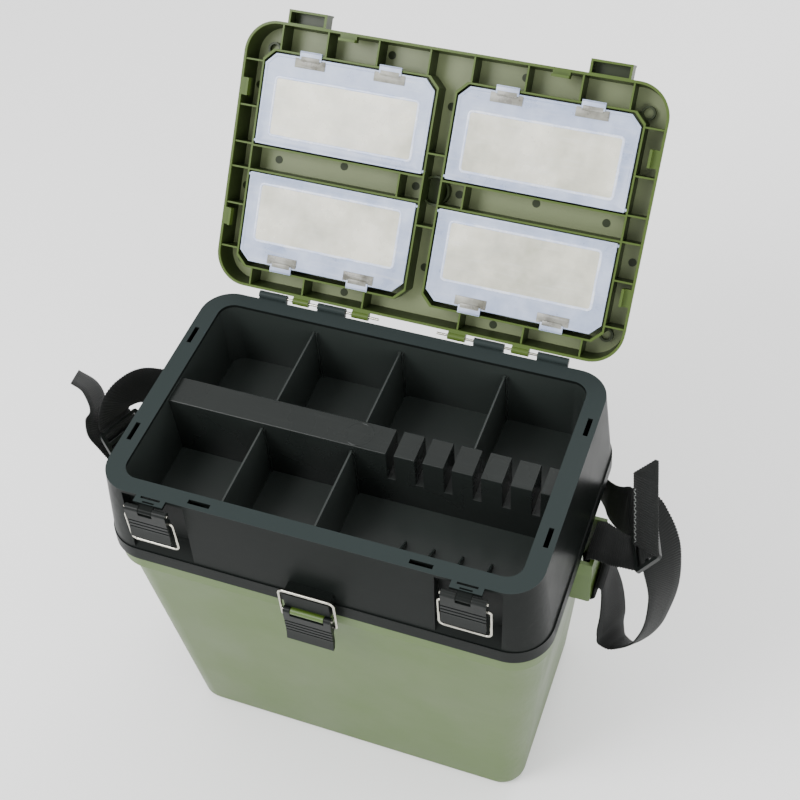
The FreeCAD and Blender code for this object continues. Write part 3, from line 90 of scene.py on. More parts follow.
# Route of the webbing in millimetres: a centre, then the direction across the webbing there
STRAP_RUN = [
    (234.2, -4.3, 298.4, -0.2, 0.92, -0.33), (226.9, 0, 295, -0.1, 0.97, -0.2),
    (216.5, 4.8, 290.5, -0.05, 1, -0.07), (205, 10, 286.5, 0, 1, 0), (199.5, 11.5, 282, 0, 1, 0),
    (198, 11.5, 275, 0, 1, 0), (198, 11.5, 235, 0, 1, 0), (199.5, 11.5, 226.5, 0, 1, 0),
    (203.5, 11.5, 223.5, 0, 1, 0), (207.5, 11.5, 227, 0, 1, 0), (208.2, 11.5, 238, 0, 1, 0),
    (209.3, 11.5, 242.4, 0, 1, 0), (211.4, 11.5, 243.8, 0, 1, 0), (213.6, 11.5, 241.8, 0, 1, 0),
    (214.8, 11.5, 237, 0.03, 1, 0), (215.8, 11.5, 227.5, 0.06, 1, 0),
    (219.5, 11, 203.5, 0.24, 0.97, 0), (222, 9.5, 167.5, 0.42, 0.91, -0.05),
    (224, 9.5, 147.5, 0.34, 0.89, -0.31), (229, 8, 141.5, 0.21, 0.83, -0.52),
    (236, 6, 145, 0.08, 0.72, -0.68), (243, 3.5, 152, 0.02, 0.6, -0.8), (251, 3, 167, 0.12, 0.56, -0.82),
    (258, 4, 187, 0.27, 0.6, -0.75), (262, 6, 214.5, 0.4, 0.66, -0.63), (263, 9.5, 240.5, 0.52, 0.71, -0.46),
    (259.5, 14.5, 262, 0.64, 0.73, -0.25), (254.4, 21.4, 277, 0.67, 0.75, 0.02),
    (245.4, 28.8, 292.5, 0.51, 0.81, 0.3), (236.8, 35.2, 300.4, 0.3, 0.85, 0.42),
    (224.8, 37.2, 298.9, -0.1, 0.75, 0.65), (217.4, 48.6, 285.5, 0, 0.6, 0.8),
    (209, 62, 269, 0.05, 0.35, 0.93), (199, 81, 249, 0.05, 0.15, 0.99), (190, 98, 236, 0, 0, 1),
    (178, 114, 229, 0, 0, 1), (160, 121.5, 225, 0, 0, 1), (120, 123, 222, 0, 0, 1),
    (0, 125, 216, 0, 0, 1), (-120, 123, 222, 0, 0, 1), (-160, 121.5, 225, 0, 0, 1),
    (-178, 114, 229, 0, 0, 1), (-191, 97, 238, 0, 0, 1), (-204, 79, 262, 0, 0, 1),
    (-217, 62, 286, -0.2, 0, 0.98), (-230, 49, 296.5, -0.38, 0.05, 0.92),
    (-240.5, 34, 301.5, -0.32, -0.15, 0.93), (-245.2, 25.5, 302, -0.32, -0.38, 0.87),
    (-248.5, 18, 299.5, -0.31, -0.6, 0.74), (-251.3, 13.4, 293, -0.28, -0.8, 0.52),
    (-253, 11.6, 286, -0.24, -0.92, 0.32), (-253.8, 11.3, 280.4, -0.21, -0.96, 0.21)]
STRAP_RIGHT_END = [
    (246.4, -8.6, 315.3, -0.587, 0.571, -0.571), (241.4, 6, 335, -0.587, 0.571, -0.571),
    (236.4, 20.6, 354.7, -0.587, 0.571, -0.571), (231.9, 33.7, 372.4, -0.587, 0.571, -0.571)]
STRAP_LEFT = [
    (-223, 4, 283.5, 0.1, 0.95, -0.25), (-214, 8, 287.5, 0, 1, -0.1), (-205, 10.5, 286.5, 0, 1, 0),
    (-199.5, 11.5, 282, 0, 1, 0), (-198, 11.5, 275, 0, 1, 0), (-198, 11.5, 235, 0, 1, 0),
    (-199.5, 11.5, 226.5, 0, 1, 0), (-204, 11.5, 223, 0, 1, 0), (-211, 11.5, 217, 0, 1, 0),
    (-222, 10, 214, 0, 1, 0), (-234, 8, 221, 0, 1, -0.1), (-246, 4, 237, 0.05, 0.95, -0.3),
    (-256, -1, 256, 0.1, 0.8, -0.6), (-261, -6, 274, 0.12, 0.65, -0.75), (-261, -4, 290, 0.1, 0.6, -0.8),
    (-266, 10, 297, -0.16, 0.82, -0.55), (-281, 25, 300, -0.18, 0.8, -0.58),
    (-305, 36, 296, -0.35, 0.79, -0.5)]

# The webbing's ends round the bars of the adjusters, and the tip of the sewn end
MAIN_RIGHT_TUCK = [
    (251.7, 3.9, 312.1, -0.28, 0.93, -0.22), (248.6, 3.3, 313.9, -0.28, 0.93, -0.22),
    (244.3, 1.9, 313.6, -0.28, 0.93, -0.22), (241, 0.1, 310, -0.28, 0.93, -0.22),
    (241, -0.9, 305.5, -0.28, 0.93, -0.22), (240.7, -2, 301.3, -0.28, 0.93, -0.22)]
MAIN_LEFT_TUCK = [
    (-250.6, 10.4, 276.9, -0.21, -0.96, 0.21), (-248, 9.7, 272.1, -0.21, -0.96, 0.21),
    (-248.6, 8.9, 267.6, -0.21, -0.96, 0.21), (-245.8, 7.4, 263.5, -0.21, -0.96, 0.21),
    (-241.6, 6.3, 262.5, -0.21, -0.96, 0.21)]
SEWN_TIP = [(230.7, 37, 376.8, -0.587, 0.571, -0.571)]

# Step along the webbing's route and length of its pointed tip in millimetres, the tip's least width as a
# share, and the edge scallops in metres
ROUTE_STEP = 0.5
TIP_LENGTH = 18.0
TIP_WIDTH = 0.12
SCALLOP = 0.00035

# The sewn end's zigzag seam in millimetres along and across the webbing, and its thread in metres
SEAM_OFFSET = 16.0
SEAM_REACH = 2.0
SEAM_PITCH = 2.4
SEAM_START = 2.0
SEAM_END = 50.0
THREAD_THICKNESS = 0.0010

# Doors of the lid's cells, with the lid closed: side, then hinge edge, latch edge and peg line along Y
DOORS = {
    "door_front_left": (-1, -10.9, -89.9, -13.1),
    "door_front_right": (1, -10.9, -89.9, -13.1),
    "door_back_left": (-1, 14.6, 93.6, 16.8),
    "door_back_right": (1, 14.6, 93.6, 16.8),
}

# One door in millimetres, with the lid closed: its ends, cut corners and how much a cut shrinks for each
# millimetre of inset, margins round the window, and the rings of its outline and of the bead round the
# window, each as (inset, height)
DOOR_ENDS = (10.6, 166.0)
DOOR_CUT = 9.0
CUT_SHRINK = 0.586
DOOR_CORNER = 1.0
END_MARGIN = 12.0
HINGE_MARGIN = 9.0
LATCH_MARGIN = 20.0
BEAD_CORNER = 3.0
DOOR_RINGS = [(0.5, 372.3), (0.0, 371.9), (0.0, 371.0), (0.4, 370.7), (2.0, 370.7), (2.7, 371.2)]
BEAD_RINGS = [(-1.6, 371.2), (-1.1, 370.5), (-0.5, 370.3), (0.2, 370.4), (0.8, 371.0)]

# A door's finishes in order: its plastic, its window, the catch's tint with painted shadow, and the bead's
# painted highlight
# Blocks of a door's snap tab: half width, from and to past the latch edge, bottom, top, rounding, finish
DOOR_FINISH, WINDOW_FINISH, CATCH_TINT_AND_SHADOW_FINISH, BEAD_HIGHLIGHT_FINISH = range(4)
TAB_PLACES = (-36.5, 36.5)
TAB_BLOCKS = [
    (10.0, 5.2, -2.0, 369.5, 371.1, 0.35, DOOR_FINISH),
    (10.0, 5.2, 3.6, 369.5, 372.4, 0.3, DOOR_FINISH),
    # The two dark catch blocks: partly the tab's brownish tint, partly painted shadow under the clear tab
    (8.5, 0.6, -3.4, 369.42, 370.2, 0.12, CATCH_TINT_AND_SHADOW_FINISH),
    (14.0, -1.2, -9.2, 370.52, 371.1, 0.12, CATCH_TINT_AND_SHADOW_FINISH)]

# The pegs that a door turns on: height, radius, how far they stand out and in, and the block that holds them
PEG_HEIGHT = 372.6
PEG_RADIUS = 1.28
PEG_OUT = 2.6
PEG_IN = 3.0
PEG_BLOCK_HALF = 1.8
PEG_BLOCK_HEIGHTS = (371.4, 374.1)
PEG_BLOCK_ROUND = 0.4

# Rounding of moulded edges: angles in degrees, the merging distance and the bars' radius in metres
FLAT_ANGLE = 0.12
ROUND_ANGLE = 38
SHARP_ANGLE = 32
DOOR_SHARP_ANGLE = 35
FACE_WEIGHT = 80
MERGE_DISTANCE = 1e-6
BAR_ROUND = 0.0009

# The studio: lights as name, place, size in metres and power in watts, then the photograph's camera
FLOOR_REACH = 6.0
SKY_STRENGTH = 1.5
LIGHTS = [("key_light", (-1.1, -1.2, 1.9), 1.1, 44.0), ("front_light", (0.9, -1.8, 0.9), 1.3, 21.0),
          ("back_light", (0.4, 1.7, 1.7), 1.2, 20.0)]
LIGHT_AIM = Vector((0.0, 0.0, 0.25))
CAMERA_PLACE = (0.3300, -0.6624, 1.2522)
CAMERA_TURN = (40.889, 3.235, 19.945)
CAMERA_LENS = 62.98
CAMERA_SENSOR = 36.0

# The tray section's nodes, all in black plastic
BLACK_NODES = ["tier_shell", "tray_basin", "tray_spine", "rod_cradles", "divider_back_left",
               "divider_back_middle", "divider_back_right", "divider_front_left", "divider_front_middle"]


# Settings that a user would change

def length_setting(label, about, default, low, high):
    return bpy.props.FloatProperty(
        name=label, description=about, default=default, min=low, max=high, unit="LENGTH")


class SeatBoxSizes(bpy.types.PropertyGroup):
    edge_round: length_setting("Edge rounding", "Radius on the moulded edges", 0.0004, 0.0001, 0.002)
    webbing_width: length_setting("Webbing width", "Width of the shoulder strap", 0.040, 0.02, 0.06)
    webbing_thickness: length_setting(
        "Webbing thickness", "Thickness of the shoulder strap", 0.0017, 0.0008, 0.003)
    rib_pitch: length_setting(
        "Webbing rib pitch", "Distance between the cross ribs of the webbing", 0.0021, 0.001, 0.005)
    rib_height: length_setting("Webbing rib height", "How far each cross rib stands up", 0.00016, 0.0, 0.0005)
    stitch_length: length_setting("Stitch length", "Length of one stitch", 0.0042, 0.001, 0.008)


def colour_setting(label, about, *default):
    return bpy.props.FloatVectorProperty(
        name=label, description=about, subtype="COLOR", size=3, min=0, max=1, default=default)


class SeatBoxColours(bpy.types.PropertyGroup):
    bin_green: colour_setting("Bin green", "Plastic of the lower bin", 0.040, 0.074, 0.0085)
    # Painted shade: the lid's green is kept dark for the shade in its cells, and its outside is painted 1.5
    # times lighter
    lid_green: colour_setting("Lid green", "Plastic of the seat lid", 0.020, 0.031, 0.0078)
    # Painted highlight: a lighter green on the edges of the lid's walls and ribs, where they catch the light
    lid_edge_highlight: colour_setting("Lid edge green", "Edges of the lid's walls and ribs", 0.050, 0.082, 0.0115)
    # Painted reflection: a light green on the face under the lid's roof
    lid_roof_reflection: colour_setting("Lid roof green", "Face under the lid's roof", 0.165, 0.198, 0.098)
    black: colour_setting("Black plastic", "Tray section, latches and adjusters", 0.0055, 0.0068, 0.0062)
    # Painted light: the tray's black is painted lighter for the light bounced into the tray, and the spine
    # takes half of it
    tray_black_bounce_lit: colour_setting("Tray black", "Tray, spine, plates and dividers", 0.019, 0.0235, 0.0215)
    # Paints the tray section's top face, above RIM_TOP, a lighter grey
    rim_grey: colour_setting("Rim grey", "Dusty top face of the tray section", 0.021, 0.028, 0.0275)
    frosted: colour_setting("Door plastic", "Frosted plastic of the doors", 0.30, 0.37, 0.56)
    window: colour_setting("Door window", "Clearer middle panel of the doors", 0.46, 0.46, 0.36)
    webbing: colour_setting("Webbing", "Shoulder strap", 0.0060, 0.0068, 0.0064)
    steel: colour_setting("Steel wire", "Bails and hinge pins", 0.46, 0.45, 0.39)


# Shader building

FLOAT = "NodeSocketFloat"
GEOMETRY = "NodeSocketGeometry"


def tree_once(name, kind, inputs, outputs, fill):
    """The node tree of this name, made with its sockets and filled the first time that it is asked for."""
    tree = bpy.data.node_groups.get(name)
    if tree is None:
        tree = bpy.data.node_groups.new(name, kind)
        for label, socket_kind, *default in inputs:
            made = tree.interface.new_socket(name=label, in_out="INPUT", socket_type=socket_kind)
            if default:
                made.default_value = default[0]
        for label, socket_kind in outputs:
            tree.interface.new_socket(name=label, in_out="OUTPUT", socket_type=socket_kind)
        fill(tree, add(tree, "NodeGroupInput"), add(tree, "NodeGroupOutput"))
    return tree


def add(tree, kind, **values):
    """Adds a node and sets its attributes by name."""
    made = tree.nodes.new(kind)
    for name, value in values.items():
        setattr(made, name, value)
    return made


def wire(tree, source, target):
    tree.links.new(source, target)


def maths(tree, operation, first, second=None):
    """A Math node over two links or numbers."""
    made = add(tree, "ShaderNodeMath", operation=operation)
    for i, value in enumerate((first, second)):
        if value is None:
            continue
        if isinstance(value, (int, float)):
            made.inputs[i].default_value = value
        else:
            wire(tree, value, made.inputs[i])
    return made.outputs[0]


def grain_group():
    """Moulded grain: a fine height and a broad mottle over Object coordinates."""
    def fill(group, entry, leave):
        place = add(group, "ShaderNodeTexCoord")
        fine = add(group, "ShaderNodeTexNoise")
        fine.inputs["Detail"].default_value = 3.0
        wire(group, place.outputs["Object"], fine.inputs["Vector"])
        wire(group, entry.outputs["Grain scale"], fine.inputs["Scale"])
        broad = add(group, "ShaderNodeTexNoise")
        broad.inputs["Detail"].default_value = 4.0
        broad.inputs["Roughness"].default_value = 0.6
        wire(group, place.outputs["Object"], broad.inputs["Vector"])
        wire(group, entry.outputs["Mottle scale"], broad.inputs["Scale"])
        wire(group, fine.outputs[0], leave.inputs["Height"])
        wire(group, broad.outputs[0], leave.inputs["Mottle"])

    inputs = [("Grain scale", FLOAT, 900.0), ("Mottle scale", FLOAT, 12.0)]
    return tree_once("Moulded grain", "ShaderNodeTree", inputs, [("Height", FLOAT), ("Mottle", FLOAT)], fill)


def scuff_group():
    """Fine scuffs and dust: a mask of short streaks and broad patches together."""
    def fill(group, entry, leave):
        place = add(group, "ShaderNodeTexCoord")
        stretch = add(group, "ShaderNodeMapping")
        stretch.inputs["Rotation"].default_value = (0.3, 0.5, 0.9)
        stretch.inputs["Scale"].default_value = (30.0, 420.0, 420.0)
        wire(group, place.outputs["Object"], stretch.inputs["Vector"])
        streaks = add(group, "ShaderNodeTexNoise")
        streaks.inputs["Scale"].default_value = 1.0
        streaks.inputs["Detail"].default_value = 2.0
        wire(group, stretch.outputs[0], streaks.inputs["Vector"])
        patches = add(group, "ShaderNodeTexNoise")
        patches.inputs["Scale"].default_value = 22.0
        patches.inputs["Detail"].default_value = 5.0
        wire(group, place.outputs["Object"], patches.inputs["Vector"])
        masks = []
        for noise, floor, gain in ((streaks, 0.56, 6.0), (patches, 0.42, 2.2)):
            over = maths(group, "SUBTRACT", noise.outputs[0], floor)
            masks.append(maths(group, "MAXIMUM", maths(group, "MULTIPLY", over, gain), 0.0))
        both = maths(group, "ADD", *masks)
        final = add(group, "ShaderNodeMath", operation="MULTIPLY", use_clamp=True)
        wire(group, both, final.inputs[0])
        wire(group, entry.outputs["Amount"], final.inputs[1])
        wire(group, final.outputs[0], leave.inputs["Mask"])

    return tree_once("Scuffs and dust", "ShaderNodeTree", [("Amount", FLOAT, 0.3)], [("Mask", FLOAT)], fill)


def level_group():
    """A mask that is 1 below a level measured along a direction, and fades to 0 over a short way."""
    def fill(group, entry, leave):
        place = add(group, "ShaderNodeTexCoord")
        dot = add(group, "ShaderNodeVectorMath", operation="DOT_PRODUCT")
        wire(group, place.outputs["Object"], dot.inputs[0])
        wire(group, entry.outputs["Direction"], dot.inputs[1])
        over = maths(group, "SUBTRACT", entry.outputs["Level"], dot.outputs["Value"])
        final = add(group, "ShaderNodeMath", operation="DIVIDE", use_clamp=True)
        wire(group, over, final.inputs[0])
        wire(group, entry.outputs["Fade"], final.inputs[1])
        wire(group, final.outputs[0], leave.inputs["Mask"])

    inputs = [("Direction", "NodeSocketVector"), ("Level", FLOAT, 0.0), ("Fade", FLOAT, 0.001)]
    return tree_once("Below a level", "ShaderNodeTree", inputs, [("Mask", FLOAT)], fill)


def use_group(tree, group, **values):
    made = add(tree, "ShaderNodeGroup", node_tree=group)
    for name, value in values.items():
        made.inputs[name.replace("_", " ")].default_value = value
    return made


def blended(tree, mask, first, second):
    """A mix of two colours, or links that carry one, by a mask."""
    mix = add(tree, "ShaderNodeMix", data_type="RGBA")
    wire(tree, mask, mix.inputs[0])
    for slot, value in ((mix.inputs[6], first), (mix.inputs[7], second)):
        if isinstance(value, bpy.types.NodeSocket):
            wire(tree, value, slot)
        else:
            slot.default_value = (*value, 1.0)
    return mix.outputs[2]


def shade(colour, share):
    """The colour made darker or lighter by a share."""
    return tuple(min(1.0, c * share) for c in colour)


def material_once(name, paint):
    """The material of this name, made and painted the first time that it is asked for."""
    material = bpy.data.materials.get(name)
    if material is None:
        material = bpy.data.materials.new(name)
        material.use_nodes = True
        paint(material.node_tree, material.node_tree.nodes["Principled BSDF"])
    return material


def bump(tree, surface, height, strength, distance):
    made = add(tree, "ShaderNodeBump")
    made.inputs["Strength"].default_value = strength
    made.inputs["Distance"].default_value = distance
    wire(tree, height, made.inputs["Height"])
    wire(tree, made.outputs["Normal"], surface.inputs["Normal"])


def ranged(tree, value, low, high):
    """A noise value's usual span, 0.3 to 0.7, stretched to run from low to high."""
    made = add(tree, "ShaderNodeMapRange")
    made.inputs["From Min"].default_value = 0.3
    made.inputs["From Max"].default_value = 0.7
    made.inputs["To Min"].default_value = low
    made.inputs["To Max"].default_value = high
    wire(tree, value, made.inputs["Value"])
    return made.outputs["Result"]


def plastic(name, colour, rough, grain_scale, grain, scuffs, bands=(), shine=0.5):
    """Moulded plastic with grain, mottle and scuffs.

    Each band is (colour, direction, level, fade), and paints what is below the level along the direction.
    """
    def paint_on(tree, surface):
        texture = use_group(tree, grain_group(), Grain_scale=grain_scale, Mottle_scale=9.0)
        paint = blended(tree, texture.outputs["Mottle"], shade(colour, 0.82), shade(colour, 1.2))
        for tint, direction, level, fade in bands:
            mask = use_group(tree, level_group(), Direction=direction, Level=level, Fade=fade)
            paint = blended(tree, mask.outputs["Mask"], paint, tint)
        worn = use_group(tree, scuff_group(), Amount=scuffs)
        paint = blended(tree, worn.outputs["Mask"], paint, tuple(min(1.0, c * 1.5 + 0.015) for c in colour))
        wire(tree, paint, surface.inputs["Base Color"])
        gloss = ranged(tree, texture.outputs["Mottle"], rough - 0.06, rough + 0.08)
        wire(tree, gloss, surface.inputs["Roughness"])
        surface.inputs["Specular IOR Level"].default_value = shine
        bump(tree, surface, texture.outputs["Height"], grain, 0.0002)

    return material_once(name, paint_on)


def green_plastic(colours):
    # Painted highlight: the bin green is painted 1.1 times lighter above FLANGE_TOP
    flange_highlight = (shade(colours.bin_green, 1.1), (0.0, 0.0, -1.0), -FLANGE_TOP * MM, 0.0003)
    return plastic("Bin green plastic", colours.bin_green, rough=0.42, grain_scale=1100.0, grain=0.35,
                   scuffs=0.10, bands=[flange_highlight])


def lid_plastic(colours):
    """Green plastic, kept dark as painted shade in the lid's cells, with a painted highlight on the wall
    edges, a painted reflection under the roof, and a plainer green outside, above the roof, painted 1.5 times
    lighter.
    """
    # Painted highlight: the walls' and ribs' edges, up to WALL_EDGE_RISE from the hinge line, take a lighter
    # green
    highlight_level = (LID_UP.dot(LID_HINGE) + WALL_EDGE_RISE) * MM
    edge = (tuple(colours.lid_edge_highlight), tuple(LID_UP), highlight_level, 0.0005)
    away = -LID_UP
    hinge_level = away.dot(LID_HINGE) * MM
    # Painted reflection: the face under the roof, past ROOF_RISE from the hinge line, takes a light green
    roof = (tuple(colours.lid_roof_reflection), tuple(away), hinge_level - ROOF_RISE * MM, 0.0002)
    # The outside above the roof is the lid green painted 1.5 times lighter, while the darker green stands in
    # for the shade in the cells
    outside = (shade(colours.lid_green, 1.5), tuple(away), hinge_level - OUTSIDE_RISE * MM, 0.0010)
    return plastic("Lid green plastic", colours.lid_green, rough=0.38, grain_scale=900.0, grain=0.18,
                   scuffs=0.06, bands=[edge, roof, outside], shine=0.22)


def mark_plastic(colours):
    return plastic("Moulding mark plastic", shade(colours.lid_green, 0.8), rough=0.42, grain_scale=900.0,
                   grain=0.18, scuffs=0.04, shine=0.2)


def black_plastic(colours):
    # The top face above RIM_TOP is painted a lighter grey
    rim = (tuple(colours.rim_grey), (0.0, 0.0, -1.0), -RIM_TOP * MM, 0.0002)
    return plastic("Black moulded plastic", colours.black, rough=0.36, grain_scale=1000.0, grain=0.22,
                   scuffs=0.05, bands=[rim], shine=0.06)


def tray_plastic(colours):
    # Painted light: the tray, its plates and its dividers are painted a lighter black for the light bounced
    # into the tray
    return plastic("Tray black plastic", colours.tray_black_bounce_lit, rough=0.32, grain_scale=1000.0, grain=0.20,
                   scuffs=0.04, shine=0.3)


def spine_plastic(colours):
    return plastic("Spine black plastic", shade(colours.tray_black_bounce_lit, 0.5), rough=0.26, grain_scale=1000.0,
                   grain=0.2, scuffs=0.10, shine=0.22)


def latch_plastic(colours):
    return plastic("Latch black plastic", colours.black, rough=0.38, grain_scale=1300.0, grain=0.30,
                   scuffs=0.08, shine=0.14)


def slider_plastic(colours):
    return plastic("Slider black plastic", shade(colours.black, 1.4), rough=0.28, grain_scale=1500.0,
                   grain=0.12, scuffs=0.15)


def steel(colours):
    """Bright wire with a finely uneven polish."""
    def paint_on(tree, surface):
        surface.inputs["Metallic"].default_value = 1.0
        texture = use_group(tree, grain_group(), Grain_scale=2600.0, Mottle_scale=120.0)
        mottle = texture.outputs["Mottle"]
        paint = blended(tree, mottle, shade(colours.steel, 0.78), shade(colours.steel, 1.2))
        wire(tree, paint, surface.inputs["Base Color"])
        wire(tree, ranged(tree, mottle, 0.14, 0.28), surface.inputs["Roughness"])
        bump(tree, surface, texture.outputs["Height"], 0.15, 0.0001)

    return material_once("Bright steel wire", paint_on)


def frosted(name, colour, rough, through, second, cloud):
    """Milky plastic that lets some light through, clouded with a second colour."""
    def paint_on(tree, surface):
        surface.inputs["Transmission Weight"].default_value = through
        surface.inputs["IOR"].default_value = 1.45
        surface.inputs["Specular IOR Level"].default_value = 0.6
        texture = use_group(tree, grain_group(), Grain_scale=700.0, Mottle_scale=cloud)
        mottle = texture.outputs["Mottle"]
        paint = blended(tree, ranged(tree, mottle, 0.0, 1.0), colour, second)
        worn = use_group(tree, scuff_group(), Amount=0.18)
        paint = blended(tree, worn.outputs["Mask"], paint, (0.80, 0.82, 0.84))
        wire(tree, paint, surface.inputs["Base Color"])
        wire(tree, ranged(tree, mottle, rough - 0.08, rough + 0.1), surface.inputs["Roughness"])
        bump(tree, surface, texture.outputs["Height"], 0.2, 0.0002)

    return material_once(name, paint_on)


def door_plastic(colours):
    return frosted("Frosted door plastic", tuple(colours.frosted), rough=0.32, through=0.2,
                   second=(0.54, 0.62, 0.80), cloud=34.0)


def window_plastic(colours):
    return frosted("Door window plastic", tuple(colours.window), rough=0.22, through=0.2,
                   second=(0.92, 0.90, 0.76), cloud=20.0)


# Painted highlight: the bead round each window is the door plastic painted 1.5 times lighter, as a light line
# along its ridge
def bead_highlight_plastic(colours):
    return frosted("Door bead painted highlight", shade(colours.frosted, 1.5), rough=0.24, through=0.1,
                   second=(0.86, 0.90, 0.97), cloud=60.0)


# Painted shadow: the catch's dark blocks are partly the tab's brownish tint and partly painted shadow under
# the clear tab
def catch_tint_and_shadow():
    return frosted("Door catch tint and painted shadow", (0.07, 0.065, 0.045), rough=0.30, through=0.1,
                   second=(0.30, 0.30, 0.25), cloud=60.0)


def webbing_fabric(colours):
    """Woven webbing: fine yarns across each rib, from the ribbon's own UV map in millimetres."""
    def paint_on(tree, surface):
        surface.inputs["Sheen Weight"].default_value = 0.05
        surface.inputs["Sheen Roughness"].default_value = 0.4
        chart = add(tree, "ShaderNodeUVMap", uv_map="webbing")
        yarns = add(tree, "ShaderNodeTexWave", wave_type="BANDS", bands_direction="Y", wave_profile="SIN")
        yarns.inputs["Scale"].default_value = 0.36
        yarns.inputs["Distortion"].default_value = 1.2
        yarns.inputs["Detail"].default_value = 2.0
        wire(tree, chart.outputs["UV"], yarns.inputs["Vector"])
        fuzz = add(tree, "ShaderNodeTexNoise")
        fuzz.inputs["Scale"].default_value = 2.2
        fuzz.inputs["Detail"].default_value = 4.0
        wire(tree, chart.outputs["UV"], fuzz.inputs["Vector"])
        mixed = maths(tree, "ADD", maths(tree, "MULTIPLY", yarns.outputs["Fac"], 0.6),
                      maths(tree, "MULTIPLY", fuzz.outputs[0], 0.4))
        paint = blended(tree, mixed, shade(colours.webbing, 0.7), shade(colours.webbing, 1.7))
        wire(tree, paint, surface.inputs["Base Color"])
        surface.inputs["Roughness"].default_value = 0.72
        surface.inputs["Specular IOR Level"].default_value = 0.22
        bump(tree, surface, mixed, 0.6, 0.0003)

    return material_once("Black webbing", paint_on)


def thread():
    """Grey sewing thread, finely mottled."""
    def paint_on(tree, surface):
        texture = use_group(tree, grain_group(), Grain_scale=4000.0, Mottle_scale=300.0)
        paint = blended(tree, texture.outputs["Mottle"], (0.12, 0.13, 0.125), (0.20, 0.21, 0.20))
        wire(tree, paint, surface.inputs["Base Color"])
        surface.inputs["Roughness"].default_value = 0.55
        bump(tree, surface, texture.outputs["Height"], 0.4, 0.0001)

    return material_once("Sewing thread", paint_on)


def floor_paint():
    """Pale floor with a faint broad mottle."""
    def paint_on(tree, surface):
        texture = use_group(tree, grain_group(), Grain_scale=300.0, Mottle_scale=3.0)
        paint = blended(tree, texture.outputs["Mottle"], (0.90, 0.90, 0.90), (0.93, 0.93, 0.93))
        wire(tree, paint, surface.inputs["Base Color"])
        surface.inputs["Roughness"].default_value = 0.75

    return material_once("Pale studio floor", paint_on)


# Mesh building

def turned_open(point):
    """Where a point of the closed lid, in millimetres, stands with the lid open, in metres."""
    away = Vector(point) - LID_HINGE
    turned = Matrix.Rotation(-LID_ANGLE, 3, "X") @ away
    return (LID_HINGE + turned) * MM


def linked(name, mesh):
    made = bpy.data.objects.new(name, mesh)
    bpy.context.scene.collection.objects.link(made)
    return made


def finished_mesh(bm, name, materials):
    """Makes an object of a bmesh, with outward faces and soft shading."""
    bmesh.ops.recalc_face_normals(bm, faces=bm.faces)
    mesh = bpy.data.meshes.new(name)
    bm.to_mesh(mesh)
    bm.free()
    for material in materials:
        mesh.materials.append(material)
    mesh.shade_smooth()
    mesh.set_sharp_from_angle(angle=math.radians(DOOR_SHARP_ANGLE))
    return linked(name, mesh)


def flattened(made, name):
    """The object with its modifiers applied, as a plain mesh object in its place."""
    graph = bpy.context.evaluated_depsgraph_get()
    mesh = bpy.data.meshes.new_from_object(made.evaluated_get(graph))
    old = made.data
    bpy.data.objects.remove(made)
    if old.users == 0:
        bpy.data.meshes.remove(old)
    mesh.name = name
    return linked(name, mesh)


def rounded_copy(node, name, width, material):
    """A merged copy of a CAD node's mesh with its sharp edges rounded."""
    bm = bmesh.new()
    bm.from_mesh(frame["nodes"][node].data)
    bmesh.ops.remove_doubles(bm, verts=bm.verts, dist=MERGE_DISTANCE)
    bmesh.ops.dissolve_limit(bm, angle_limit=math.radians(FLAT_ANGLE), verts=bm.verts, edges=bm.edges)
    for face in bm.faces:
        face.material_index = 0
    mesh = bpy.data.meshes.new(name + "_base")
    bm.to_mesh(mesh)
    bm.free()
    mesh.materials.append(material)
    made = linked(name + "_base", mesh)
    soft = made.modifiers.new("Rounding", "BEVEL")
    soft.width = width
    soft.segments = 2
    soft.limit_method = "ANGLE"
    soft.angle_limit = math.radians(ROUND_ANGLE)
    soft.use_clamp_overlap = True
    soft.harden_normals = False
    made = flattened(made, name)
    made.data.shade_smooth()
    made.data.set_sharp_from_angle(angle=math.radians(SHARP_ANGLE))
    even = made.modifiers.new("Even shading", "WEIGHTED_NORMAL")
    even.weight = FACE_WEIGHT
    even.keep_sharp = True
    return flattened(made, name)


def body_of(node):
    return frame["nodes"][node]["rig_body"]


def dress(node, material):
    """Gives a CAD node a material and leaves its shape alone."""
    mesh = frame["nodes"][node].data
    mesh.materials.clear()
    mesh.materials.append(material)


def stand_for(made, node):
    """Lets a piece take a CAD node's place on the node's body."""
    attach(made, body_of(node))
    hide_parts(node)


def loop_outline(x0, x1, y0, y1, corners, inset, steps=5):
    """A level outline, counter-clockwise, with four corners, each (size, is it round)."""
    x0, x1, y0, y1 = x0 + inset, x1 - inset, y0 + inset, y1 - inset
    spots = [((x1, y0), (-1, 0), (0, 1)), ((x1, y1), (0, -1), (-1, 0)),
             ((x0, y1), (1, 0), (0, -1)), ((x0, y0), (0, 1), (1, 0))]
    points = []
    for (spot, back, ahead), (size, is_round) in zip(spots, corners):
        size = max(0.2, size - inset * (1.0 if is_round else CUT_SHRINK))
        for k in range(steps + 1):
            share = k / steps
            if is_round:
                turn = share * math.pi / 2
                a, b = size * (1 - math.sin(turn)), size * (1 - math.cos(turn))
            else:
                a, b = size * (1 - share), size * share
            points.append((spot[0] + back[0] * a + ahead[0] * b, spot[1] + back[1] * a + ahead[1] * b))
    return points


def skin_rings(bm, rings, place):
    """Joins level rings of equal count with faces and caps both ends. Returns the last cap."""
    made = [[bm.verts.new(place(p)) for p in ring] for ring in rings]
    for lower, upper in zip(made, made[1:]):
        for i in range(len(lower)):
            j = (i + 1) % len(lower)
            bm.faces.new((lower[i], lower[j], upper[j], upper[i]))
    bm.faces.new(tuple(reversed(made[0])))
    return bm.faces.new(tuple(made[-1]))


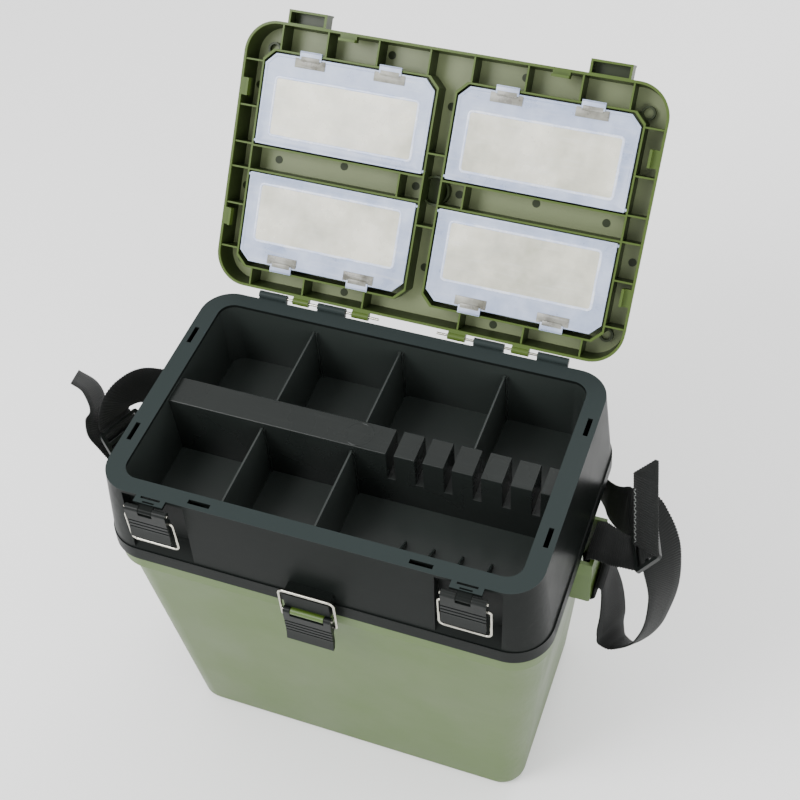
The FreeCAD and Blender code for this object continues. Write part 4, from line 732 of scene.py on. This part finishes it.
def soft_block(bm, low, high, radius, place, finish=DOOR_FINISH):
    """A box with rounded edges between two corners."""
    size = [b - a for a, b in zip(low, high)]
    middle = [(a + b) / 2 for a, b in zip(low, high)]
    grown = bmesh.ops.create_cube(bm, size=1.0)
    verts = grown["verts"]
    for v in verts:
        v.co = Vector((middle[0] + v.co.x * size[0], middle[1] + v.co.y * size[1],
                       middle[2] + v.co.z * size[2]))
    edges = list(dict.fromkeys(e for v in verts for e in v.link_edges))
    made = bmesh.ops.bevel(bm, geom=edges, offset=radius, segments=2, profile=0.5, affect="EDGES")
    faces = set(made["faces"])
    for v in made["verts"]:
        faces.update(v.link_faces)
    for v in {v for f in faces for v in f.verts}:
        v.co = place(v.co)
    for f in faces:
        f.material_index = finish


def soft_rod(bm, x0, x1, y, z, radius, place, sides=16):
    """A round rod along X with small chamfered ends."""
    rings = []
    for x, share in ((x0, 0.75), (x0 + 0.25, 1.0), (x1 - 0.25, 1.0), (x1, 0.75)):
        rings.append([(x, y + radius * share * math.cos(2 * math.pi * k / sides),
                       z + radius * share * math.sin(2 * math.pi * k / sides)) for k in range(sides)])
    skin_rings(bm, rings, place)


# The webbing

def spread(stations):
    """Centres, across directions and lengths along a smooth line through the stations, in small steps."""
    values = [Vector(s[:3]) for s in stations]
    across = [Vector(s[3:]).normalized() for s in stations]
    knots = [0.0]
    for a, b in zip(values, values[1:]):
        knots.append(knots[-1] + (b - a).length)

    def slopes(items):
        made = []
        for i in range(len(items)):
            if i == 0:
                made.append((items[1] - items[0]) / (knots[1] - knots[0]))
            elif i == len(items) - 1:
                made.append((items[-1] - items[-2]) / (knots[-1] - knots[-2]))
            else:
                before, after = knots[i] - knots[i - 1], knots[i + 1] - knots[i]
                first = (items[i] - items[i - 1]) / before
                second = (items[i + 1] - items[i]) / after
                made.append((first * after + second * before) / (before + after))
        return made

    ways, turns = slopes(values), slopes(across)
    places, sides = [], []
    for i in range(len(values) - 1):
        span = knots[i + 1] - knots[i]
        count = max(2, int(span / ROUTE_STEP))
        last = i == len(values) - 2
        for k in range(count + (1 if last else 0)):
            t = k / count
            h00, h10 = 2 * t ** 3 - 3 * t ** 2 + 1, t ** 3 - 2 * t ** 2 + t
            h01, h11 = -2 * t ** 3 + 3 * t ** 2, t ** 3 - t ** 2
            places.append(values[i] * h00 + ways[i] * (h10 * span) + values[i + 1] * h01
                          + ways[i + 1] * (h11 * span))
            sides.append((across[i] * h00 + turns[i] * (h10 * span) + across[i + 1] * h01
                          + turns[i + 1] * (h11 * span)).normalized())
    lengths = [0.0]
    for a, b in zip(places, places[1:]):
        lengths.append(lengths[-1] + (b - a).length)
    return places, sides, lengths


# The webbing's section, as shares of half its width and half its thickness
SECTION = [(-0.975, 0.75), (-0.5, 1.0), (0.0, 1.0), (0.5, 1.0), (0.975, 0.75), (1.0, 0.0),
           (0.975, -0.75), (0.5, -1.0), (0.0, -1.0), (-0.5, -1.0), (-0.975, -0.75), (-1.0, 0.0)]


def ribbon_base(name, stations, width, thickness, point=0.0):
    """The plain webbing, with its length and edge direction kept on its points for the ribs.

    point is the length in millimetres over which the last end narrows to a corner.
    """
    places, sides, lengths = spread(stations)
    half, thin = width / MM / 2, thickness / MM / 2
    total = lengths[-1]
    verts, along, outward, chart = [], [], [], []
    for i, (spot, side) in enumerate(zip(places, sides)):
        way = (places[min(i + 1, len(places) - 1)] - places[max(i - 1, 0)]).normalized()
        up = way.cross(side).normalized()
        left = total - lengths[i]
        narrow = 1.0
        shift = 0.0
        if point and left < point:
            narrow = TIP_WIDTH + (1.0 - TIP_WIDTH) * left / point
            shift = -half * (1.0 - narrow)
        for u, v in SECTION:
            verts.append((spot + side * (u * half * narrow + shift) + up * (v * thin)) * MM)
            along.append(lengths[i] * MM)
            outward.append(side * (u if abs(u) > 0.9 else 0.0))
            chart.append((lengths[i], u * half * narrow + (half * 3 if v < 0 else 0.0)))
    count = len(SECTION)
    faces = []
    for i in range(len(places) - 1):
        for k in range(count):
            j = (k + 1) % count
            faces.append((i * count + k, i * count + j, (i + 1) * count + j, (i + 1) * count + k))
    faces.append(tuple(range(count)))
    faces.append(tuple(range(len(verts) - 1, len(verts) - 1 - count, -1)))
    mesh = bpy.data.meshes.new(name)
    mesh.from_pydata(verts, [], faces)
    kept = mesh.attributes.new("along", "FLOAT", "POINT")
    kept.data.foreach_set("value", along)
    edge = mesh.attributes.new("outward", "FLOAT_VECTOR", "POINT")
    edge.data.foreach_set("vector", [c for v in outward for c in v])
    layer = mesh.uv_layers.new(name="webbing")
    for corner in mesh.loops:
        layer.data[corner.index].uv = chart[corner.vertex_index]
    bm = bmesh.new()
    bm.from_mesh(mesh)
    bmesh.ops.recalc_face_normals(bm, faces=bm.faces)
    bm.to_mesh(mesh)
    bm.free()
    mesh.shade_smooth()
    return linked(name, mesh)


def realized(tree, geometry, entry, leave):
    """Ends a tree: real geometry in the material that the tree was given."""
    real = add(tree, "GeometryNodeRealizeInstances")
    wire(tree, geometry, real.inputs[0])
    painted = add(tree, "GeometryNodeSetMaterial")
    wire(tree, real.outputs[0], painted.inputs["Geometry"])
    wire(tree, entry.outputs["Material"], painted.inputs["Material"])
    wire(tree, painted.outputs[0], leave.inputs["Geometry"])


def point_value(tree, name, kind):
    made = add(tree, "GeometryNodeInputNamedAttribute", data_type=kind)
    made.inputs["Name"].default_value = name
    return made.outputs[0]


def rib_tree():
    """Geometry nodes that raise cross ribs on webbing and scallop its edges."""
    def fill(tree, entry, leave):
        turns = maths(tree, "DIVIDE", point_value(tree, "along", "FLOAT"), entry.outputs["Pitch"])
        wave = maths(tree, "SINE", maths(tree, "MULTIPLY", turns, 2 * math.pi))
        both = add(tree, "ShaderNodeVectorMath", operation="ADD")
        normal = add(tree, "GeometryNodeInputNormal").outputs[0]
        outward = point_value(tree, "outward", "FLOAT_VECTOR")
        for i, (way, size) in enumerate(((normal, "Height"), (outward, "Scallop"))):
            lift = add(tree, "ShaderNodeVectorMath", operation="SCALE")
            wire(tree, way, lift.inputs[0])
            wire(tree, maths(tree, "MULTIPLY", wave, entry.outputs[size]), lift.inputs["Scale"])
            wire(tree, lift.outputs[0], both.inputs[i])
        moved = add(tree, "GeometryNodeSetPosition")
        wire(tree, entry.outputs["Geometry"], moved.inputs["Geometry"])
        wire(tree, both.outputs[0], moved.inputs["Offset"])
        realized(tree, moved.outputs[0], entry, leave)

    inputs = [("Geometry", GEOMETRY), ("Pitch", FLOAT, 0.002), ("Height", FLOAT, 0.0002),
              ("Scallop", FLOAT, 0.0003), ("Material", "NodeSocketMaterial")]
    return tree_once("Webbing ribs", "GeometryNodeTree", inputs, [("Geometry", GEOMETRY)], fill)


def seed_tree(name, make_shape, across):
    """Geometry nodes that put one small shape on each point, turned by the point's own angles.

    across names the input, Length or Thickness, that sets the shape's size across its length.
    """
    def fill(tree, entry, leave):
        shape = make_shape(tree)
        size = add(tree, "ShaderNodeCombineXYZ")
        for i, label in enumerate(("Length", across, "Thickness")):
            wire(tree, entry.outputs[label], size.inputs[i])
        put = add(tree, "GeometryNodeInstanceOnPoints")
        wire(tree, entry.outputs["Geometry"], put.inputs["Points"])
        wire(tree, shape, put.inputs["Instance"])
        wire(tree, point_value(tree, "turn", "FLOAT_VECTOR"), put.inputs["Rotation"])
        wire(tree, size.outputs[0], put.inputs["Scale"])
        realized(tree, put.outputs[0], entry, leave)

    inputs = [("Geometry", GEOMETRY), ("Length", FLOAT, 0.003), ("Thickness", FLOAT, 0.0006),
              ("Material", "NodeSocketMaterial")]
    return tree_once(name, "GeometryNodeTree", inputs, [("Geometry", GEOMETRY)], fill)


def stitch_shape(tree):
    ball = add(tree, "GeometryNodeMeshUVSphere")
    ball.inputs["Segments"].default_value = 8
    ball.inputs["Rings"].default_value = 5
    ball.inputs["Radius"].default_value = 0.5
    return ball.outputs[0]


def disc_shape(tree):
    disc = add(tree, "GeometryNodeMeshCylinder", fill_type="NGON")
    disc.inputs["Vertices"].default_value = 24
    disc.inputs["Radius"].default_value = 0.5
    disc.inputs["Depth"].default_value = 1.0
    return disc.outputs[0]


def run_tree(made, tree, name, **values):
    """Runs a geometry node tree on an object and keeps only the plain mesh it makes."""
    modifier = made.modifiers.new(tree.name, "NODES")
    modifier.node_group = tree
    sockets = {s.name: s.identifier for s in tree.interface.items_tree if s.in_out == "INPUT"}
    for key, value in values.items():
        modifier[sockets[key]] = value
    return flattened(made, name)


def points_object(name, points, turns):
    """Loose points that carry the angles by which a shape on each is turned."""
    mesh = bpy.data.meshes.new(name)
    mesh.from_pydata(points, [], [])
    kept = mesh.attributes.new("turn", "FLOAT_VECTOR", "POINT")
    kept.data.foreach_set("vector", [c for v in turns for c in v])
    return linked(name, mesh)


def zigzag(stations, thickness):
    """Places and angles of the seam's stitches on both faces of the webbing."""
    places, sides, lengths = spread(stations)
    corners = []
    sign = 1
    wanted = SEAM_START
    for i, spot in enumerate(places):
        if lengths[i] < wanted or lengths[i] > SEAM_END:
            continue
        way = (places[min(i + 1, len(places) - 1)] - places[max(i - 1, 0)]).normalized()
        up = way.cross(sides[i]).normalized()
        corners.append((spot + sides[i] * (SEAM_OFFSET + SEAM_REACH * sign), up))
        sign = -sign
        wanted += SEAM_PITCH
    points, turns = [], []
    for (a, up), (b, _) in zip(corners, corners[1:]):
        for face in (1, -1):
            points.append(((a + b) / 2 + up * (thickness / MM / 2 + 0.1) * face) * MM)
            way = (b - a).normalized()
            side = up.cross(way).normalized()
            turns.append(Matrix((way, side, up)).transposed().to_euler("XYZ"))
    return points, turns


# Operators: one for each piece or group of like pieces

def settings(context):
    return context.scene.seatbox_sizes, context.scene.seatbox_colours


class SEATBOX_OT_bin(bpy.types.Operator):
    """Finishes the lower bin in green plastic with softened edges"""
    bl_idname = "seatbox.bin"
    bl_label = "Lower bin"

    def execute(self, context):
        sizes, colours = settings(context)
        made = rounded_copy("bin_shell", "bin_body", sizes.edge_round, green_plastic(colours))
        stand_for(made, "bin_shell")
        return {"FINISHED"}


OWN_FINISHES = {"tier_shell": black_plastic, "tray_spine": spine_plastic}


class SEATBOX_OT_tray(bpy.types.Operator):
    """Finishes the tray section, the tray, its spine, its plates and its dividers"""
    bl_idname = "seatbox.tray"
    bl_label = "Tray section"

    def execute(self, context):
        sizes, colours = settings(context)
        for node in BLACK_NODES:
            finish = OWN_FINISHES.get(node, tray_plastic)
            made = rounded_copy(node, node + "_finish", sizes.edge_round, finish(colours))
            stand_for(made, node)
        return {"FINISHED"}


class SEATBOX_OT_lid(bpy.types.Operator):
    """Finishes the seat lid and the walls of its cells, with the moulding marks under its roof"""
    bl_idname = "seatbox.lid"
    bl_label = "Seat lid"

    def execute(self, context):
        sizes, colours = settings(context)
        for node in ("lid_shell", "lid_cells"):
            made = rounded_copy(node, node + "_finish", sizes.edge_round, lid_plastic(colours))
            stand_for(made, node)
        points = [turned_open((x, y, MARK_HEIGHT)) for x, y in MARK_SPOTS]
        turns = [(-LID_ANGLE, 0.0, 0.0)] * len(points)
        seeds = points_object("lid_marks_seeds", points, turns)
        tree = seed_tree("Moulding marks", disc_shape, "Length")
        marks = run_tree(seeds, tree, "lid_moulding_marks", Length=MARK_WIDTH, Thickness=MARK_THICKNESS,
                         Material=mark_plastic(colours))
        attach(marks, "lid")
        return {"FINISHED"}


class SEATBOX_OT_doors(bpy.types.Operator):
    """Builds the four frosted flap doors with their raised borders, windows, catches and pegs"""
    bl_idname = "seatbox.doors"
    bl_label = "Flap doors"

    def execute(self, context):
        colours = context.scene.seatbox_colours
        finishes = [door_plastic(colours), window_plastic(colours), catch_tint_and_shadow(), bead_highlight_plastic(colours)]
        cut, square = (DOOR_CUT, False), (DOOR_CORNER, True)
        for node, (side, hinge, latch, pegs) in DOORS.items():
            x0, x1 = sorted(side * end for end in DOOR_ENDS)
            y0, y1 = sorted((hinge, latch))
            if latch < hinge:
                out = -1
                corners = [cut, square, square, cut]
                window = (x0 + END_MARGIN, x1 - END_MARGIN, y0 + LATCH_MARGIN, y1 - HINGE_MARGIN)
            else:
                out = 1
                corners = [square, cut, cut, square]
                window = (x0 + END_MARGIN, x1 - END_MARGIN, y0 + HINGE_MARGIN, y1 - LATCH_MARGIN)
            rings = []
            for inset, height in DOOR_RINGS:
                rings.append([(x, y, height) for x, y in loop_outline(x0, x1, y0, y1, corners, inset)])
            for inset, height in BEAD_RINGS:
                outline = loop_outline(*window, [(BEAD_CORNER, True)] * 4, inset)
                rings.append([(x, y, height) for x, y in outline])
            bm = bmesh.new()
            skin_rings(bm, rings, turned_open).material_index = WINDOW_FINISH
            bm.faces.ensure_lookup_table()
            count = len(rings[0])
            first = len(DOOR_RINGS) * count
            # The bead's faces take the painted highlight
            for face in bm.faces[first:first + (len(BEAD_RINGS) - 1) * count]:
                face.material_index = BEAD_HIGHLIGHT_FINISH
            middle = (x0 + x1) / 2
            for shift in TAB_PLACES:
                for half, begin, end, bottom, top, rounding, finish in TAB_BLOCKS:
                    low, high = sorted((latch + out * begin, latch + out * end))
                    soft_block(bm, (middle + shift - half, low, bottom), (middle + shift + half, high, top),
                               rounding, turned_open, finish)
            for begin, end in ((x0 - PEG_OUT, x0 + PEG_IN), (x1 - PEG_IN, x1 + PEG_OUT)):
                soft_rod(bm, begin, end, pegs, PEG_HEIGHT, PEG_RADIUS, turned_open)
            bottom, top = PEG_BLOCK_HEIGHTS
            for begin in (x0, x1 - PEG_IN):
                soft_block(bm, (begin, pegs - PEG_BLOCK_HALF, bottom),
                           (begin + PEG_IN, pegs + PEG_BLOCK_HALF, top), PEG_BLOCK_ROUND, turned_open)
            made = finished_mesh(bm, node + "_panel", finishes)
            stand_for(made, node)
        return {"FINISHED"}


class SEATBOX_OT_latches(bpy.types.Operator):
    """Finishes the three latch levers in black plastic and their wire bails in bright steel"""
    bl_idname = "seatbox.latches"
    bl_label = "Latches"

    def execute(self, context):
        sizes, colours = settings(context)
        for tag in ("left", "right", "middle"):
            node = "latch_lever_" + tag
            made = rounded_copy(node, node + "_finish", sizes.edge_round, latch_plastic(colours))
            stand_for(made, node)
            dress("latch_bail_" + tag, steel(colours))
            dress("latch_pin_" + tag, steel(colours))
        return {"FINISHED"}


class SEATBOX_OT_hinges(bpy.types.Operator):
    """Finishes the hinge pins of the lid and of the tray section in bright steel"""
    bl_idname = "seatbox.hinges"
    bl_label = "Hinge pins"

    def execute(self, context):
        colours = context.scene.seatbox_colours
        for hinge in ("lid", "rear"):
            for side in ("left", "right"):
                dress(hinge + "_hinge_pin_" + side, steel(colours))
        return {"FINISHED"}


class SEATBOX_OT_strap(bpy.types.Operator):
    """Builds the shoulder strap's ribbed webbing along its route and the stitching of its sewn end"""
    bl_idname = "seatbox.strap"
    bl_label = "Shoulder strap"

    def execute(self, context):
        sizes, colours = settings(context)
        # The main run's first point is left out, because its end goes round the adjuster's bar
        pieces = {
            "strap_webbing_main": (MAIN_RIGHT_TUCK + STRAP_RUN[1:] + MAIN_LEFT_TUCK, 0.0),
            "strap_webbing_right_end": (STRAP_RIGHT_END + SEWN_TIP, TIP_LENGTH),
            "strap_webbing_left": (STRAP_LEFT, 0.0),
        }
        for node, (stations, point) in pieces.items():
            base = ribbon_base(node + "_base", stations, sizes.webbing_width, sizes.webbing_thickness, point)
            made = run_tree(base, rib_tree(), node + "_weave", Pitch=sizes.rib_pitch, Height=sizes.rib_height,
                            Scallop=SCALLOP, Material=webbing_fabric(colours))
            stand_for(made, node)
        points, turns = zigzag(STRAP_RIGHT_END, sizes.webbing_thickness)
        seeds = points_object("strap_stitch_seeds", points, turns)
        tree = seed_tree("Stitches", stitch_shape, "Thickness")
        made = run_tree(seeds, tree, "strap_stitches", Length=sizes.stitch_length,
                        Thickness=THREAD_THICKNESS, Material=thread())
        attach(made, "bin")
        return {"FINISHED"}


class SEATBOX_OT_sliders(bpy.types.Operator):
    """Finishes the strap's two adjusters with rounded bars"""
    bl_idname = "seatbox.sliders"
    bl_label = "Strap adjusters"

    def execute(self, context):
        colours = context.scene.seatbox_colours
        for node in ("strap_slider_left", "strap_slider_right"):
            made = rounded_copy(node, node + "_finish", BAR_ROUND, slider_plastic(colours))
            stand_for(made, node)
        return {"FINISHED"}


class SEATBOX_OT_stage(bpy.types.Operator):
    """Sets the pale floor, the soft studio lights and the camera"""
    bl_idname = "seatbox.stage"
    bl_label = "Studio stage"

    def execute(self, context):
        scene = context.scene
        floor_mesh = bpy.data.meshes.new("studio_floor")
        corners = [(x * FLOOR_REACH, y * FLOOR_REACH, 0) for x, y in ((-1, -1), (1, -1), (1, 1), (-1, 1))]
        floor_mesh.from_pydata(corners, [], [(0, 1, 2, 3)])
        floor = linked("studio_floor", floor_mesh)
        floor_mesh.materials.append(floor_paint())
        world = bpy.data.worlds.new("Soft studio sky")
        world.use_nodes = True
        sky = world.node_tree.nodes["Background"]
        sky.inputs["Color"].default_value = (1.0, 1.0, 1.0, 1.0)
        sky.inputs["Strength"].default_value = SKY_STRENGTH
        scene.world = world
        for name, place, size, power in LIGHTS:
            data = bpy.data.lights.new(name, "AREA")
            data.shape = "DISK"
            data.size = size
            data.energy = power
            lamp = bpy.data.objects.new(name, data)
            scene.collection.objects.link(lamp)
            lamp.location = place
            aim = LIGHT_AIM - Vector(place)
            lamp.rotation_euler = aim.to_track_quat("-Z", "Y").to_euler()
        data = bpy.data.cameras.new("photo_camera")
        data.sensor_width = CAMERA_SENSOR
        data.lens = CAMERA_LENS
        data.clip_start = 0.05
        camera = bpy.data.objects.new("photo_camera", data)
        scene.collection.objects.link(camera)
        camera.location = CAMERA_PLACE
        camera.rotation_euler = tuple(math.radians(turn) for turn in CAMERA_TURN)
        scene.camera = camera
        return {"FINISHED"}


class SEATBOX_PT_panel(bpy.types.Panel):
    """Lists the seat box's settings and the buttons that build its pieces"""
    bl_idname = "SEATBOX_PT_panel"
    bl_label = "Seat box"
    bl_space_type = "VIEW_3D"
    bl_region_type = "UI"
    bl_category = "Seat box"

    def draw(self, context):
        layout = self.layout
        for group in settings(context):
            column = layout.column(align=True)
            for name in group.__annotations__:
                column.prop(group, name)
        for operator in OPERATORS:
            layout.operator(operator.bl_idname)


OPERATORS = [SEATBOX_OT_stage, SEATBOX_OT_bin, SEATBOX_OT_tray, SEATBOX_OT_lid, SEATBOX_OT_doors,
             SEATBOX_OT_latches, SEATBOX_OT_hinges, SEATBOX_OT_strap, SEATBOX_OT_sliders]
CLASSES = [SeatBoxSizes, SeatBoxColours] + OPERATORS + [SEATBOX_PT_panel]


def register():
    for kind in CLASSES:
        bpy.utils.register_class(kind)
    bpy.types.Scene.seatbox_sizes = bpy.props.PointerProperty(type=SeatBoxSizes)
    bpy.types.Scene.seatbox_colours = bpy.props.PointerProperty(type=SeatBoxColours)


def unregister():
    del bpy.types.Scene.seatbox_colours
    del bpy.types.Scene.seatbox_sizes
    for kind in reversed(CLASSES):
        bpy.utils.unregister_class(kind)


def main():
    """Builds every piece in turn."""
    register()
    bpy.ops.seatbox.stage()
    bpy.ops.seatbox.bin()
    bpy.ops.seatbox.tray()
    bpy.ops.seatbox.lid()
    bpy.ops.seatbox.doors()
    bpy.ops.seatbox.latches()
    bpy.ops.seatbox.hinges()
    bpy.ops.seatbox.strap()
    bpy.ops.seatbox.sliders()


if __name__ == "__main__":
    main()
